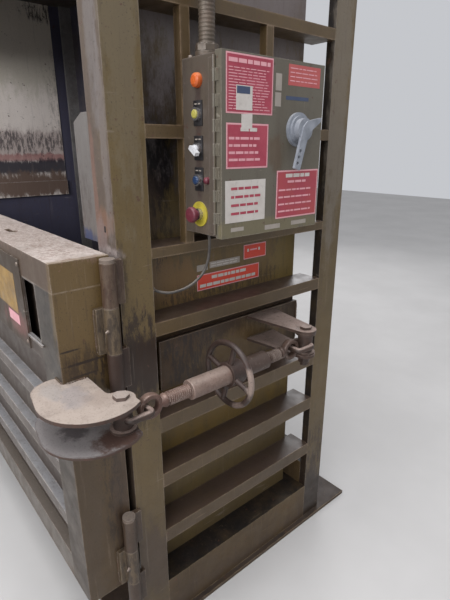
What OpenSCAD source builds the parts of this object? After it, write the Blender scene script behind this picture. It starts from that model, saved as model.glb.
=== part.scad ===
// Vertical recycling baler: welded frame, hinged lower door held shut by a screw jack, raised feed gate,
// hydraulic platen and an electrical control box on the right side.
// Millimetres. Origin at floor level, in the middle of the floor bolt pattern. +Z up, front towards -Y.

/* [Frame] */
// Width over the side faces of the posts
frame_w = 2030; // [1690:10:2400]
// Depth over the front and rear posts
frame_d = 912; // [800:4:1150]
// Height of the posts
post_h = 2900; // [2800:10:3300]
// Side of each square front post, and depth of the rear posts
post = 100; // [90:1:115]
// Width of the rear posts across the machine
rear_post_w = 32; // [26:1:60]
// Wall of each post
post_wall = 8; // [5:1:12]
// Thickness of the side, back and liner sheets
sheet_t = 6; // [4:1:8]
// Open gap between the side sheet and the rear post
corner_gap = 39; // [20:1:60]
// Wall of the rolled ribs
rib_wall = 5; // [3:1:7]
// Height of the four lower side ribs
rib_h = 50; // [40:1:60]
// Height of the upper rails
rail_h = 33; // [26:1:45]
// Size of the square tubes round the top
top_beam = 100; // [80:5:120]

/* [Base] */
// Height of the chamber floor over the ground
floor_z = 300; // [260:5:380]
// Thickness of the chamber floor plate
floor_t = 12; // [8:1:20]
// Thickness of the base plates
base_t = 15; // [10:1:25]
// Height of the base channel
skid_h = 179; // [140:1:200]
// Distance the base plate stands out beyond the posts
skid_out = 20; // [10:1:60]
// Spacing of the floor bolts across the machine
bolt_x = 1640; // [1300:10:2000]
// Spacing of the floor bolts from front to back
bolt_y = 560; // [440:10:700]
// Diameter of the floor bolt holes
bolt_hole = 22; // [16:1:30]

/* [Lower door] */
// Thickness of the door
door_t = 149; // [115:1:180]
// Gap between the door and the front posts
door_gap = 22; // [18:1:30]
// Height of the top of the door
door_top = 1343; // [1240:1:1400]
// Height of the bottom of the door
door_bottom = 297; // [280:1:320]
// Width of the door stiles
stile_w = 120; // [90:1:140]
// Height of the top rail
top_rail_h = 72; // [50:1:90]
// Height of the bottom rail
bottom_rail_h = 95; // [60:1:110]
// Height of the flush band under the top rail
band_h = 211; // [180:1:240]
// Depth of the recess between the door ribs
recess = 30; // [15:1:45]
// Height of each door rib
door_rib_h = 43; // [30:1:60]
// Pitch of the door ribs
door_rib_pitch = 185; // [150:1:200]
// Wall of the door sections
door_wall = 8; // [5:1:10]
// Width of the window slot at the right of the band
slot_w = 93; // [60:1:110]
// Height of the window slot
slot_h = 159; // [100:1:170]

/* [Hinges] */
// Outer radius of the hinge knuckles
knuckle_r = 20; // [16:0.5:21]
// Radius of the hinge pin
pin_r = 9.55; // [8:0.05:12]
// Height of each fixed knuckle
fixed_knuckle_h = 114; // [80:1:130]
// Height of the door knuckle
door_knuckle_h = 123; // [80:1:140]
// Height of the bottom of the upper hinge
upper_hinge_z = 977; // [900:1:1000]
// Height of the bottom of the lower hinge
lower_hinge_z = 198; // [150:1:220]

/* [Screw jack] */
// Height of the jack axis
jack_z = 986; // [960:0.5:1020]
// Distance of the jack axis out from the posts
jack_x = 148; // [130:1:165]
// Height of the top face of the horn and anchor plates
horn_top = 1037; // [1010:0.5:1070]
// Clear gap between the two horn plates
horn_gap = 75; // [70:0.5:90]
// Thickness of the horn and anchor plates
horn_t = 9; // [7:0.5:14]
// Outer radius of the round horn
horn_r = 127; // [105:1:150]
// Radius of the horn and anchor bolts
horn_bolt_r = 12.7; // [10:0.1:14]
// Radius of the round bar of the links
link_r = 9; // [7:0.5:11]
// Outer radius of the ring eyes
eye_r = 34; // [30:0.5:36]
// Radius of the hole in each ring eye
eye_hole_r = 20; // [17:0.5:22]
// Thickness of each ring eye
eye_t = 22; // [18:1:26]
// Radius of the two screw rods
rod_r = 19; // [15:0.5:22]
// Outer radius of the threaded sleeve
sleeve_r = 27.5; // [24:0.5:34]
// Length of the threaded sleeve
sleeve_len = 283; // [260:1:345]
// Outer radius of the hand wheel
wheel_r = 101; // [85:0.5:120]
// Radius of the hand wheel rim section
rim_r = 8.5; // [7:0.5:12]

/* [Feed gate and platen] */
// Height of the top of the feed opening
feed_top = 2060; // [1950:5:2100]
// Thickness of the feed gate
gate_t = 30; // [20:1:34]
// Height of the underside of the raised platen
platen_z = 2350; // [2300:10:2400]
// Height of the platen
platen_h = 180; // [140:5:220]
// Radius of the piston rod
piston_rod_r = 45; // [35:1:50]
// Outer radius of the cylinder barrel
barrel_r = 84; // [75:1:90]
// Inner radius of the cylinder barrel
bore_r = 64; // [56:1:68]
// Height of the top of the cylinder
barrel_top = 4000; // [3950:10:4300]
// Stroke of the platen
stroke = 1220; // [900:10:1250]

/* [Control box] */
// Depth of the control box
box_d = 154; // [130:1:180]
// Width of the control box
box_w = 364; // [320:1:400]
// Height of the control box
box_h = 427; // [400:1:460]
// Wall of the control box
box_wall = 2; // [1.5:0.5:3]
// Depth of the box door tray
tray_d = 22; // [16:1:28]
// Radius of the push button bezels
bezel_r = 15; // [14:0.5:18]
// Radius of the holes for the push buttons
device_r = 11.2; // [11:0.1:13]
// Radius of the emergency stop head
estop_r = 20; // [16:0.5:22]
// Radius of the disconnect switch base
switch_r = 43; // [38:1:50]
// Radius of the flexible conduit
conduit_r = 21; // [16:1:24]

/* [Clearances] */
// Radial running clearance of pins and rods
run = 0.05; // [0.02:0.01:0.1]
// Side clearance of sliding and swinging pieces
slide = 3; // [2:0.5:4]

/* [Hidden] */
cut = 1;
olive = [0.42, 0.38, 0.27];
grey_olive = [0.44, 0.42, 0.34];
door_grey = [0.57, 0.54, 0.52];
worn = [0.79, 0.75, 0.72];
rust = [0.36, 0.27, 0.22];
steel = [0.60, 0.58, 0.56];

// Main planes
side_x = frame_w / 2;
front_y = -frame_d / 2;
rear_y = frame_d / 2;
in_x = side_x - post;
rear_in_x = side_x - rear_post_w;
back_rib_x = in_x - 85;
sheet_y1 = rear_y - post - corner_gap;
sheet_y0 = front_y + post;
back_y = sheet_y1 - sheet_t;
top_z = post_h - top_beam;
sheet_z0 = floor_z - floor_t;
rib_d = post - sheet_t;

// Bottoms and heights of the side ribs and rails
rib_zs = [floor_z + 51, floor_z + 273, floor_z + 473, door_top - 254, door_top - 30, door_top + 271,
    door_top + 571];
rib_hs = [rib_h, rib_h, rib_h, rib_h - 9, rail_h - 5, rail_h, rail_h];

// Base
flange_w = 160;
plate_w = 230;
skid_wall = 12;
plate_front = 60;
plate_back = 170;
mid_beam_w = 80;
mid_beam_pitch = 157;

// Door
door_y1 = front_y - door_gap;
door_y0 = door_y1 - door_t;
door_skin_y = door_y0 + recess;
band_z0 = door_top - top_rail_h - band_h;
slot_x1 = side_x - stile_w - 5;
slot_x0 = slot_x1 - slot_w;
slot_z0 = band_z0 + 48;
rib_in_x = side_x - stile_w;
band_t = 6;
liner_t = 6;
panel_t = 4;
door_rib_tops = [for (i = [0:2]) band_z0 - 138 - i * door_rib_pitch];

// Hinge axis, clear of the side faces of the door and the posts
hinge_x = side_x + knuckle_r + 0.5;
hinge_y = front_y - 37;
hinge_zs = [lower_hinge_z, upper_hinge_z];
knuckle_gap = 1;
pin_head_h = 9;
leaf_t = 14;
fixed_leaf = 8;
door_leaf = 38;

// Screw jack along Y
jack_ax = side_x + jack_x;
horn_z1 = horn_top - horn_t;
horn_z0 = horn_z1 - horn_gap;
horn_bolt_y = front_y - 91;
eye_slack = 0.6;
eye_side = 12;
link_to_eye = eye_hole_r - link_r - eye_slack;
link_reach = 64;
front_eye_y = horn_bolt_y + link_reach + link_to_eye;
sleeve_y0 = front_y + 102;
sleeve_y1 = sleeve_y0 + sleeve_len;
rear_eye_y = sleeve_y1 + 111;
anchor_y = rear_eye_y + link_to_eye + link_reach;
plate_lobe = 34;
bolt_head_h = 9;
bolt_head_r = 20;
wheel_y = front_y + 242;
hub_front = 10;
hub_back = 36;
hub_r = 36;
spoke_r = 8;
spoke_turn = 15;
front_engage = 48;
rear_engage = 114;

// Anchor pad on the side sheet
pad_x0 = in_x + sheet_t;
pad_x1 = side_x - 60;
pad_step_x = side_x - 78;
pad_y0 = front_y + 145;
pad_y1 = front_y + 760;
pad_z0 = jack_z - 112;
pad_z1 = jack_z + 53;

// Gate and guides
guide_w = 40;
guide_y0 = front_y + 20;
guide_t = 6;
guide_in = gate_t + 2 * 5;
guide_y1 = guide_y0 + guide_in + 2 * guide_t;
guide_z0 = door_top + 7;
gate_y0 = guide_y0 + guide_t + (guide_in - gate_t) / 2;
gate_half = in_x - guide_t - 5;
gate_z0 = feed_top + 6;
gate_z1 = top_z - 10;
guard_w = 115;
guard_h = 327;

// Platen and its guides
band_depth = 20;
rail_z0 = door_top - 38;
rail_z1 = door_top + 48;
liner_y1 = front_y + 657;
guide_bar_x = in_x - 53;
guide_bar_w = 15;
guide_bar_d = 65;
platen_half = in_x - band_depth - 5;
platen_y0 = guide_y1 + 13;
platen_y1 = back_y - 8;
platen_mid = (platen_y0 + platen_y1) / 2;
platen_top = platen_z + platen_h;
boss_h = 20;
rod_z0 = platen_top + boss_h;

// Cylinder and top frame
beam_gap = 190;
channel_w = 75;
channel_h = 200;
channel_t = 10;
cross_z = post_h + channel_h;
barrel_z0 = rod_z0 + 40;
gland_h = 80;
piston_h = 60;
piston_z = barrel_z0 + gland_h + stroke + 20;
port_x = barrel_r + 14;
low_port_z = barrel_z0 + gland_h + 15;
top_port_z = barrel_top - 60;

// Control box, mounted on the two struts in the plane of the posts
box_x0 = side_x;
box_x1 = box_x0 + box_d - tray_d - box_wall;
tray_x1 = box_x0 + box_d;
box_y0 = front_y + 212;
box_y1 = box_y0 + box_w;
box_z0 = door_top + 31;
box_z1 = box_z0 + box_h;
body_in = 3;
panel_y = box_y0 + body_in;
strut_w = 28;
strut_ys = [box_y0, box_y0 + 294];
device_x = box_x0 + 63;
lamp_z = box_z0 + 371;
yellow_z = box_z0 + 296;
select_z = box_z0 + 215;
blue_z = box_z0 + 140;
estop_z = box_z0 + 54;
pilot_x = box_x0 + 97;
small_hole_r = 6;
stem_r = 8;
cap_r = 10.4;
piano_x = box_x1 + 1;
piano_y = box_y0 - 4;
piano_r = 4;
piano_pin_r = 2;
piano_n = 15;
switch_y = box_y0 + 263;
switch_z = box_z0 + 263;
spindle_r = 8;
fitting_x = box_x0 + 45;
fitting_y = box_y0 + 46;
gland_x = box_x0 + 50;
gland_y = box_y0 + 42;

// Power unit on the crosshead
tank_x0 = 280;
tank_w = 560;
tank_h = 330;
tank_z1 = cross_z + tank_h;
motor_x = tank_x0 + 400;
motor_r = 95;
motor_h = 300;
valve_x = tank_x0 + 130;

// A box between two corners
module block(lo, hi) {
    translate(lo) cube(hi - lo);
}

// A rectangular tube between two corners, open along axis 0, 1 or 2
module tube(lo, hi, wall, axis) {
    inset = [for (i = [0:2]) i == axis ? -cut : wall];
    difference() {
        block(lo, hi);
        block(lo + inset, hi - inset);
    }
}

module both_sides() {
    children();
    mirror([1, 0, 0]) children();
}

module rod_y(r, y0, y1) {
    translate([0, y0, 0]) rotate([-90, 0, 0]) cylinder(r = r, h = y1 - y0, $fn = 64);
}

module rod_x(r, x0, x1) {
    translate([x0, 0, 0]) rotate([0, 90, 0]) cylinder(r = r, h = x1 - x0, $fn = 64);
}

module rod_z(r, z0, z1) {
    translate([0, 0, z0]) cylinder(r = r, h = z1 - z0, $fn = 64);
}

// A smooth route through points, with a number of steps between each pair
function blend(a, b, c, d, t) =
    0.5 * (2 * b + (c - a) * t + (2 * a - 5 * b + 4 * c - d) * t * t + (3 * b - a - 3 * c + d) * t * t * t);
function route(p, steps) = [
    for (i = [0:len(p) - 2], s = [0:steps - 1])
        blend(p[max(i - 1, 0)], p[i], p[i + 1], p[min(i + 2, len(p) - 1)], s / steps),
    p[len(p) - 1]
];
function unit(v) = v / norm(v);
function heading(p, i) = unit(p[min(i + 1, len(p) - 1)] - p[max(i - 1, 0)]);

// A tube of n sides swept along a route; normal is a direction that the route never takes
module sweep(p, r, n, normal) {
    rings = [for (i = [0:len(p) - 1])
        let (t = heading(p, i), u = unit(cross(normal, t)), v = cross(t, u))
        [for (k = [0:n - 1]) p[i] + r * (cos(360 * k / n) * u + sin(360 * k / n) * v)]];
    last = (len(p) - 1) * n;
    polyhedron(
        points = [for (ring = rings) each ring],
        faces = [
            for (i = [0:len(p) - 2], k = [0:n - 1])
                [i * n + k, (i + 1) * n + k, (i + 1) * n + (k + 1) % n, i * n + (k + 1) % n],
            [for (k = [0:n - 1]) k],
            [for (k = [n - 1:-1:0]) last + k]
        ]
    );
}

// Frame

module front_posts() {
    color(olive) both_sides()
        tube([in_x, front_y, base_t], [side_x, front_y + post, post_h], post_wall, 2);
}

module rear_posts() {
    color(olive) both_sides()
        tube([rear_in_x, rear_y - post, base_t], [side_x, rear_y, post_h], post_wall, 2);
}

module base_skids() {
    color(rust) both_sides() difference() {
        union() {
            block([side_x - plate_w, front_y - plate_front, 0],
                [side_x + skid_out, rear_y + plate_back, base_t]);
            block([side_x - skid_wall, sheet_y0, 0], [side_x, rear_y - post, skid_h]);
            block([side_x - flange_w, sheet_y0, skid_h - skid_wall], [side_x, rear_y - post, skid_h]);
        }
        for (y = [-bolt_y / 2, bolt_y / 2])
            translate([bolt_x / 2, y, -cut]) cylinder(d = bolt_hole, h = base_t + 2 * cut, $fn = 48);
    }
}

module floor_beams() {
    color(rust) {
        tube([-in_x, front_y, skid_h], [in_x, front_y + post, sheet_z0], rib_wall, 0);
        tube([-rear_in_x, rear_y - post, skid_h], [rear_in_x, rear_y, sheet_z0], rib_wall, 0);
        for (i = [-1:1]) {
            y = i * mid_beam_pitch;
            tube([-in_x, y - mid_beam_w / 2, skid_h], [in_x, y + mid_beam_w / 2, sheet_z0], rib_wall, 0);
        }
    }
}

module chamber_floor() {
    color(rust) block([-in_x, door_y1 + 10, sheet_z0], [in_x, back_y, floor_z]);
}

module side_sheets() {
    color(olive) both_sides() block([in_x, sheet_y0, skid_h], [in_x + sheet_t, sheet_y1, top_z]);
}

module back_sheet() {
    color(olive) block([-in_x, back_y, sheet_z0], [in_x, sheet_y1, top_z]);
}

// Inner liners of the upper chamber walls, each with its thick band along the bottom
module wall_liners() {
    color(grey_olive) both_sides() {
        block([in_x - sheet_t, guide_y1 + 8, rail_z1], [in_x, liner_y1, top_z]);
        block([in_x - band_depth, guide_y1 + 8, rail_z0], [in_x, liner_y1, rail_z1]);
    }
}

module side_ribs() {
    color(olive) both_sides() for (i = [0:len(rib_zs) - 1])
        tube([side_x - rib_d, sheet_y0, rib_zs[i]], [side_x, rear_y - post, rib_zs[i] + rib_hs[i]],
            rib_wall, 1);
}

module back_ribs() {
    color(olive) for (i = [0:len(rib_zs) - 1])
        tube([-back_rib_x, sheet_y1, rib_zs[i]], [back_rib_x, sheet_y1 + rib_d, rib_zs[i] + rib_hs[i]],
            rib_wall, 0);
}

// A C-channel along X with its web at y0 and its flanges towards side
module cross_channel(y0, side) {
    x = side_x;
    z0 = post_h;
    ya = min(y0, y0 + side * channel_w);
    yb = max(y0, y0 + side * channel_w);
    web_a = side > 0 ? y0 : y0 - channel_t;
    block([-x, web_a, z0], [x, web_a + channel_t, z0 + channel_h]);
    block([-x, ya, z0], [x, yb, z0 + channel_t]);
    block([-x, ya, z0 + channel_h - channel_t], [x, yb, z0 + channel_h]);
}

// Square tubes round the top of the frame and the two channels that carry the cylinder
module top_frame() {
    color(olive) {
        both_sides() tube([in_x, sheet_y0, top_z], [side_x, rear_y - post, post_h], rib_wall, 1);
        tube([-in_x, front_y, top_z], [in_x, sheet_y0, post_h], rib_wall, 0);
        tube([-rear_in_x, rear_y - post, top_z], [rear_in_x, rear_y, post_h], rib_wall, 0);
        cross_channel(platen_mid - beam_gap / 2, -1);
        cross_channel(platen_mid + beam_gap / 2, 1);
    }
}

module header_panel() {
    lip = 15;
    color(olive) {
        block([-in_x, front_y, feed_top], [in_x, front_y + floor_t, top_z]);
        block([-in_x, front_y, feed_top], [in_x, front_y + lip, feed_top + sheet_t]);
    }
}

// Upright channels in which the feed gate slides, each with a stop at its foot
module gate_guides() {
    color(grey_olive) both_sides() difference() {
        block([in_x - guide_w, guide_y0, guide_z0], [in_x, guide_y1, top_z]);
        block([in_x - guide_w - cut, guide_y0 + guide_t, guide_z0 + guide_t],
            [in_x - guide_t, guide_y1 - guide_t, top_z + cut]);
    }
}

// Guard plates beside the foot of the feed opening, with the inner top corner cut off
module guard_plates() {
    corner_x = 50;
    corner_z = 22;
    color(door_grey) both_sides() translate([0, guide_y0, guide_z0]) rotate([90, 0, 0])
        linear_extrude(sheet_t) polygon([
            [in_x - guard_w, 0],
            [in_x, 0],
            [in_x, guard_h],
            [in_x - guard_w + corner_x, guard_h],
            [in_x - guard_w, guard_h - corner_z]
        ]);
}

// Flat bars in the rear corners that steady the platen
module platen_guides() {
    color(steel) both_sides() block([guide_bar_x, back_y - guide_bar_d, floor_z],
        [guide_bar_x + guide_bar_w, back_y, top_z]);
}

// Shoe under the free end of the closed door
module door_keeper() {
    shoe_x0 = -in_x - 85;
    shoe_x1 = -in_x - 15;
    color(rust) {
        block([shoe_x0, door_y1 - 55, door_bottom - 13], [shoe_x1, front_y, door_bottom - 1]);
        translate([shoe_x0 + 29, 0, 0]) rotate([90, 0, 90]) linear_extrude(12) polygon([
            [door_y1 - 50, door_bottom - 13],
            [front_y, door_bottom - 90],
            [front_y, door_bottom - 13]
        ]);
    }
}

// Screw jack anchor on the right side sheet

module anchor_pad() {
    color(rust) {
        block([pad_x0, pad_y0, pad_z0], [pad_x1, pad_y1, pad_z1]);
        block([pad_x0, pad_y0, pad_z1], [pad_step_x, pad_y1, rib_zs[3]]);
    }
}

// Plan outline of one anchor plate: a straight foot on the pad, tapering to a round lobe at the bolt
module anchor_outline() {
    foot = 64;
    reach = jack_ax - pad_x1;
    spread = atan(foot / reach);
    lean = asin(plate_lobe / norm([foot, reach]));
    tip = [for (s = [-1, 1])
        [jack_ax + plate_lobe * sin(spread - lean), anchor_y + s * plate_lobe * cos(spread - lean)]];
    difference() {
        union() {
            polygon([[pad_x1, anchor_y - foot], tip[0], tip[1], [pad_x1, anchor_y + foot]]);
            translate([jack_ax, anchor_y]) circle(plate_lobe, $fn = 96);
        }
        translate([jack_ax, anchor_y]) circle(horn_bolt_r + run, $fn = 64);
    }
}

module anchor_bracket() {
    color(rust) for (z = [horn_z0 - horn_t, horn_z1])
        translate([0, 0, z]) linear_extrude(horn_t) anchor_outline();
}

// A hexagon bolt through two horn plates with a nut below
module plate_bolt(y) {
    nut_gap = 0.3;
    translate([jack_ax, y, 0]) {
        rod_z(horn_bolt_r, horn_z0 - horn_t - 34, horn_z1 + horn_t + nut_gap);
        translate([0, 0, horn_z1 + horn_t + nut_gap]) cylinder(r = bolt_head_r, h = bolt_head_h, $fn = 6);
        translate([0, 0, horn_z0 - horn_t - nut_gap - 22]) cylinder(r = bolt_head_r, h = 22, $fn = 6);
    }
}

// Closed link of round bar with rounded corners: front bar at the origin, rear bar at link_reach
module bar_link(inner) {
    bend = link_r + 2;
    side = inner + link_r;
    x = side - bend;
    y = link_reach - bend;
    corners = [[x, y, 0], [-x, y, 0], [-x, bend, 0], [x, bend, 0]];
    for (k = [0:3]) translate(corners[k]) rotate([0, 0, 90 * k])
        rotate_extrude(angle = 90, $fn = 64) translate([bend, 0]) circle(link_r, $fn = 48);
    for (s = [-side, side]) translate([s, 0, 0]) rod_y(link_r, bend, y);
    for (end = [0, link_reach]) translate([0, end, 0]) rod_x(link_r, -x, x);
}

// Swivel piece: a flanged barrel bored for the plate bolt, with a closed link through the ring eye.
// Drawn with the bolt at the origin and the link along +Y.
module yoke() {
    barrel = horn_bolt_r + 11;
    flange = horn_bolt_r + 20;
    flange_h = 7;
    z0 = horn_z0 - jack_z + 0.8;
    z1 = horn_z1 - jack_z - 0.8;
    difference() {
        union() {
            rod_z(barrel, z0, z1);
            rod_z(flange, z0, z0 + flange_h);
            rod_z(flange, z1 - flange_h, z1);
            bar_link(eye_t / 2 + eye_side);
        }
        rod_z(horn_bolt_r + run, z0 - cut, z1 + cut);
    }
}

// A rod with a ring eye at the origin, its hole along X, and the rod from the ring to reach along +Y
module eye_rod(reach) {
    chamfer = 3;
    neck = 8;
    difference() {
        union() {
            rotate([0, 90, 0]) rotate_extrude($fn = 96) polygon([
                [0, -eye_t / 2],
                [eye_r - chamfer, -eye_t / 2],
                [eye_r, -eye_t / 2 + chamfer],
                [eye_r, eye_t / 2 - chamfer],
                [eye_r - chamfer, eye_t / 2],
                [0, eye_t / 2]
            ]);
            translate([0, eye_hole_r, 0]) rotate([-90, 0, 0])
                cylinder(r1 = eye_t / 2, r2 = rod_r, h = eye_r + neck - eye_hole_r, $fn = 64);
            rod_y(rod_r, eye_r + neck, reach);
        }
        rod_x(eye_hole_r, -eye_t, eye_t);
    }
}

module anchor_bolt() {
    color(rust) plate_bolt(anchor_y);
}

module anchor_yoke() {
    color(rust) translate([jack_ax, anchor_y, jack_z]) rotate([0, 0, 180]) yoke();
}

module rear_eye_rod() {
    color(rust) translate([jack_ax, rear_eye_y, jack_z]) rotate([0, 0, 180])
        eye_rod(rear_eye_y - sleeve_y1 + rear_engage);
}

module horn_bolt() {
    color(worn) plate_bolt(horn_bolt_y);
}

module horn_yoke() {
    color(rust) translate([jack_ax, horn_bolt_y, jack_z]) yoke();
}

module front_eye_rod() {
    color(rust) translate([jack_ax, front_eye_y, jack_z]) eye_rod(sleeve_y0 - front_eye_y + front_engage);
}

module jack_sleeve() {
    chamfer = 2;
    bore = rod_r + run;
    color(worn) translate([jack_ax, sleeve_y0, jack_z]) rotate([-90, 0, 0]) rotate_extrude($fn = 96) polygon([
        [bore, 0],
        [sleeve_r - chamfer, 0],
        [sleeve_r, chamfer],
        [sleeve_r, sleeve_len - chamfer],
        [sleeve_r - chamfer, sleeve_len],
        [bore, sleeve_len]
    ]);
}

// Hand wheel with four round spokes between a bored hub and a round rim
module hand_wheel() {
    rim_mid = wheel_r - rim_r;
    bore = sleeve_r + run;
    color(rust) translate([jack_ax, wheel_y, jack_z]) rotate([-90, 0, 0]) {
        rotate_extrude($fn = 96) translate([rim_mid, 0]) circle(rim_r, $fn = 32);
        difference() {
            union() {
                rod_z(hub_r, -hub_front, hub_back);
                for (a = [spoke_turn:90:360]) rotate([0, 90, a]) cylinder(r = spoke_r, h = rim_mid, $fn = 32);
            }
            rod_z(bore, -hub_front - cut, hub_back + cut);
        }
    }
}

// Hinges

module frame_knuckles() {
    color(olive) for (z0 = hinge_zs, z = [z0, z0 + fixed_knuckle_h + door_knuckle_h + 2 * knuckle_gap])
        difference() {
            union() {
                translate([hinge_x, hinge_y, z]) cylinder(r = knuckle_r, h = fixed_knuckle_h, $fn = 64);
                block([side_x, hinge_y, z], [side_x + leaf_t, front_y + fixed_leaf, z + fixed_knuckle_h]);
            }
            translate([hinge_x, hinge_y, z - cut])
                cylinder(r = pin_r + run, h = fixed_knuckle_h + 2 * cut, $fn = 64);
        }
}

module door_knuckles() {
    color(olive) for (z0 = hinge_zs) {
        z = z0 + fixed_knuckle_h + knuckle_gap;
        difference() {
            union() {
                translate([hinge_x, hinge_y, z]) cylinder(r = knuckle_r, h = door_knuckle_h, $fn = 64);
                block([side_x, hinge_y - door_leaf, z], [side_x + leaf_t, hinge_y, z + door_knuckle_h]);
            }
            translate([hinge_x, hinge_y, z - cut])
                cylinder(r = pin_r + run, h = door_knuckle_h + 2 * cut, $fn = 64);
        }
    }
}

module hinge_pins() {
    reach = 2 * fixed_knuckle_h + door_knuckle_h + 2 * knuckle_gap;
    color(worn) for (z0 = hinge_zs) translate([hinge_x, hinge_y, z0]) {
        rod_z(pin_r, 0, reach + cut);
        rod_z(knuckle_r - 1, reach, reach + pin_head_h);
    }
}

// Lower door

// The window slot, cut through every layer of the door
module window() {
    block([slot_x0, door_y0 - cut, slot_z0], [slot_x1, door_y1 + cut, slot_z0 + slot_h]);
}

module door_stiles() {
    color(olive) both_sides()
        tube([rib_in_x, door_y0, door_bottom], [side_x, door_y1, door_top - top_rail_h], door_wall, 2);
}

// Hook slot in the top of the top rail: a round hole that runs out into a narrow tail
module hook_slot() {
    hole_r = 14;
    tail_w = 16;
    tail = 55;
    translate([side_x - 493, door_y0 + 73, door_top - door_wall - cut]) {
        cylinder(r = hole_r, h = door_wall + 2 * cut, $fn = 48);
        translate([-tail, -hole_r, 0]) cube([tail, tail_w, door_wall + 2 * cut]);
    }
}

module door_rails() {
    z0 = door_top - top_rail_h;
    color(door_grey) {
        difference() {
            block([-side_x, door_y0, z0], [side_x, door_y1, door_top]);
            block([-side_x + door_wall, door_y0 + door_wall, z0 + door_wall],
                [side_x - door_wall, door_y1 - door_wall, door_top - door_wall]);
            hook_slot();
        }
        tube([-rib_in_x, door_y0, door_bottom], [rib_in_x, door_y1, door_bottom + bottom_rail_h],
            door_wall, 0);
    }
}

// Flush band over the ribs, recessed skin between the stiles, and the flat inner face
module door_skin() {
    z0 = door_bottom + bottom_rail_h;
    z1 = door_top - top_rail_h;
    color(door_grey) difference() {
        union() {
            block([-rib_in_x, door_y0, band_z0], [rib_in_x, door_y0 + band_t, z1]);
            block([-rib_in_x, door_y0, band_z0], [rib_in_x, door_skin_y, band_z0 + band_t]);
            block([-rib_in_x, door_skin_y, z0], [rib_in_x, door_skin_y + door_wall, z1]);
            block([-rib_in_x, door_y1 - liner_t, z0], [rib_in_x, door_y1, z1]);
        }
        window();
    }
}

// Rib tubes in front of the skin, and the deep tubes that tie the skin to the inner face
module door_ribs() {
    color(door_grey) for (top = door_rib_tops) {
        tube([-rib_in_x, door_y0, top - door_rib_h], [rib_in_x, door_skin_y, top], rib_wall, 0);
        tube([-rib_in_x, door_skin_y + door_wall, top - door_rib_h],
            [rib_in_x, door_y1 - liner_t, top], rib_wall, 0);
    }
}

module sign_panel() {
    color(door_grey) block([-slot_x0, door_y0 - panel_t, band_z0],
        [slot_x0, door_y0, door_top - 27]);
}

// Plan outline of one horn plate, wrapped round the right front corner of the door: a large disc with a flat
// rear edge, a smaller disc in front of the door and a lobe round the bolt
module horn_outline() {
    centre = [side_x + 85, door_y0 + 35];
    side_disc = [side_x + 18, door_y0 - 18];
    side_r = 64;
    rear = door_y0 + 63;
    tip = [20, 28];
    blend_r = 16;
    lap = 0.1;
    step = centre - side_disc;
    lean = acos((horn_r - side_r) / norm(step));
    toward = atan2(step[1], step[0]);
    normals = [for (a = [toward - lean, toward + lean]) -[cos(a), sin(a)]];
    blend_y = rear + blend_r;
    blend_x = jack_ax - sqrt(pow(plate_lobe + blend_r, 2) - pow(blend_y - horn_bolt_y, 2));
    difference() {
        union() {
            intersection() {
                translate(centre) circle(horn_r, $fn = 128);
                polygon([
                    [side_x - 200, door_y0 - 200],
                    [jack_ax + 200, door_y0 - 200],
                    [jack_ax + 200, horn_bolt_y + tip[1]],
                    [jack_ax + tip[0], horn_bolt_y + tip[1]],
                    [jack_ax, horn_bolt_y],
                    [jack_ax, rear],
                    [side_x - 200, rear]
                ]);
            }
            translate(side_disc) circle(side_r, $fn = 96);
            polygon([
                side_disc + (side_r - lap) * normals[0],
                side_disc + (side_r - lap) * normals[1],
                centre + (horn_r - lap) * normals[1],
                centre + (horn_r - lap) * normals[0]
            ]);
            translate([jack_ax, horn_bolt_y]) circle(plate_lobe, $fn = 96);
            difference() {
                polygon([
                    [blend_x, rear - 1],
                    [blend_x, blend_y],
                    [jack_ax, horn_bolt_y],
                    [jack_ax, rear - 1]
                ]);
                translate([blend_x, blend_y]) circle(blend_r + lap, $fn = 64);
            }
        }
        translate([side_x - 200, door_y0]) square([200, door_t + 1]);
        translate([jack_ax, horn_bolt_y]) circle(horn_bolt_r + run, $fn = 64);
    }
}

module horn_plates() {
    color(worn) for (z = [horn_z0 - horn_t, horn_z1])
        translate([0, 0, z]) linear_extrude(horn_t) horn_outline();
}

// Feed gate: a sheet in a frame of flat bars, with two stiffeners, four guide shoes and a hand grip below
module feed_gate() {
    bar = 30;
    shoe = 60;
    play = 0.5;
    skin = 4;
    grip_half = 100;
    grip_r = 9;
    grip_z = gate_z0 - 55;
    y1 = gate_y0 + gate_t;
    color(olive) {
        difference() {
            block([-gate_half, gate_y0, gate_z0], [gate_half, y1, gate_z1]);
            for (i = [0:2]) {
                pocket = (gate_z1 - gate_z0 - 4 * bar) / 3;
                z = gate_z0 + bar + i * (pocket + bar);
                block([-gate_half + bar, gate_y0 - cut, z], [gate_half - bar, y1 - skin, z + pocket]);
            }
        }
        both_sides() for (z = [gate_z0, gate_z1 - shoe])
            block([gate_half - bar, guide_y0 + guide_t + play, z],
                [in_x - guide_t - play, guide_y1 - guide_t - play, z + shoe]);
        translate([0, gate_y0 + gate_t / 2, 0]) {
            for (s = [-1, 1]) translate([s * grip_half, 0, 0]) rod_z(grip_r, grip_z, gate_z0 + cut);
            translate([0, 0, grip_z]) rod_x(grip_r, -grip_half - grip_r, grip_half + grip_r);
        }
    }
}

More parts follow.
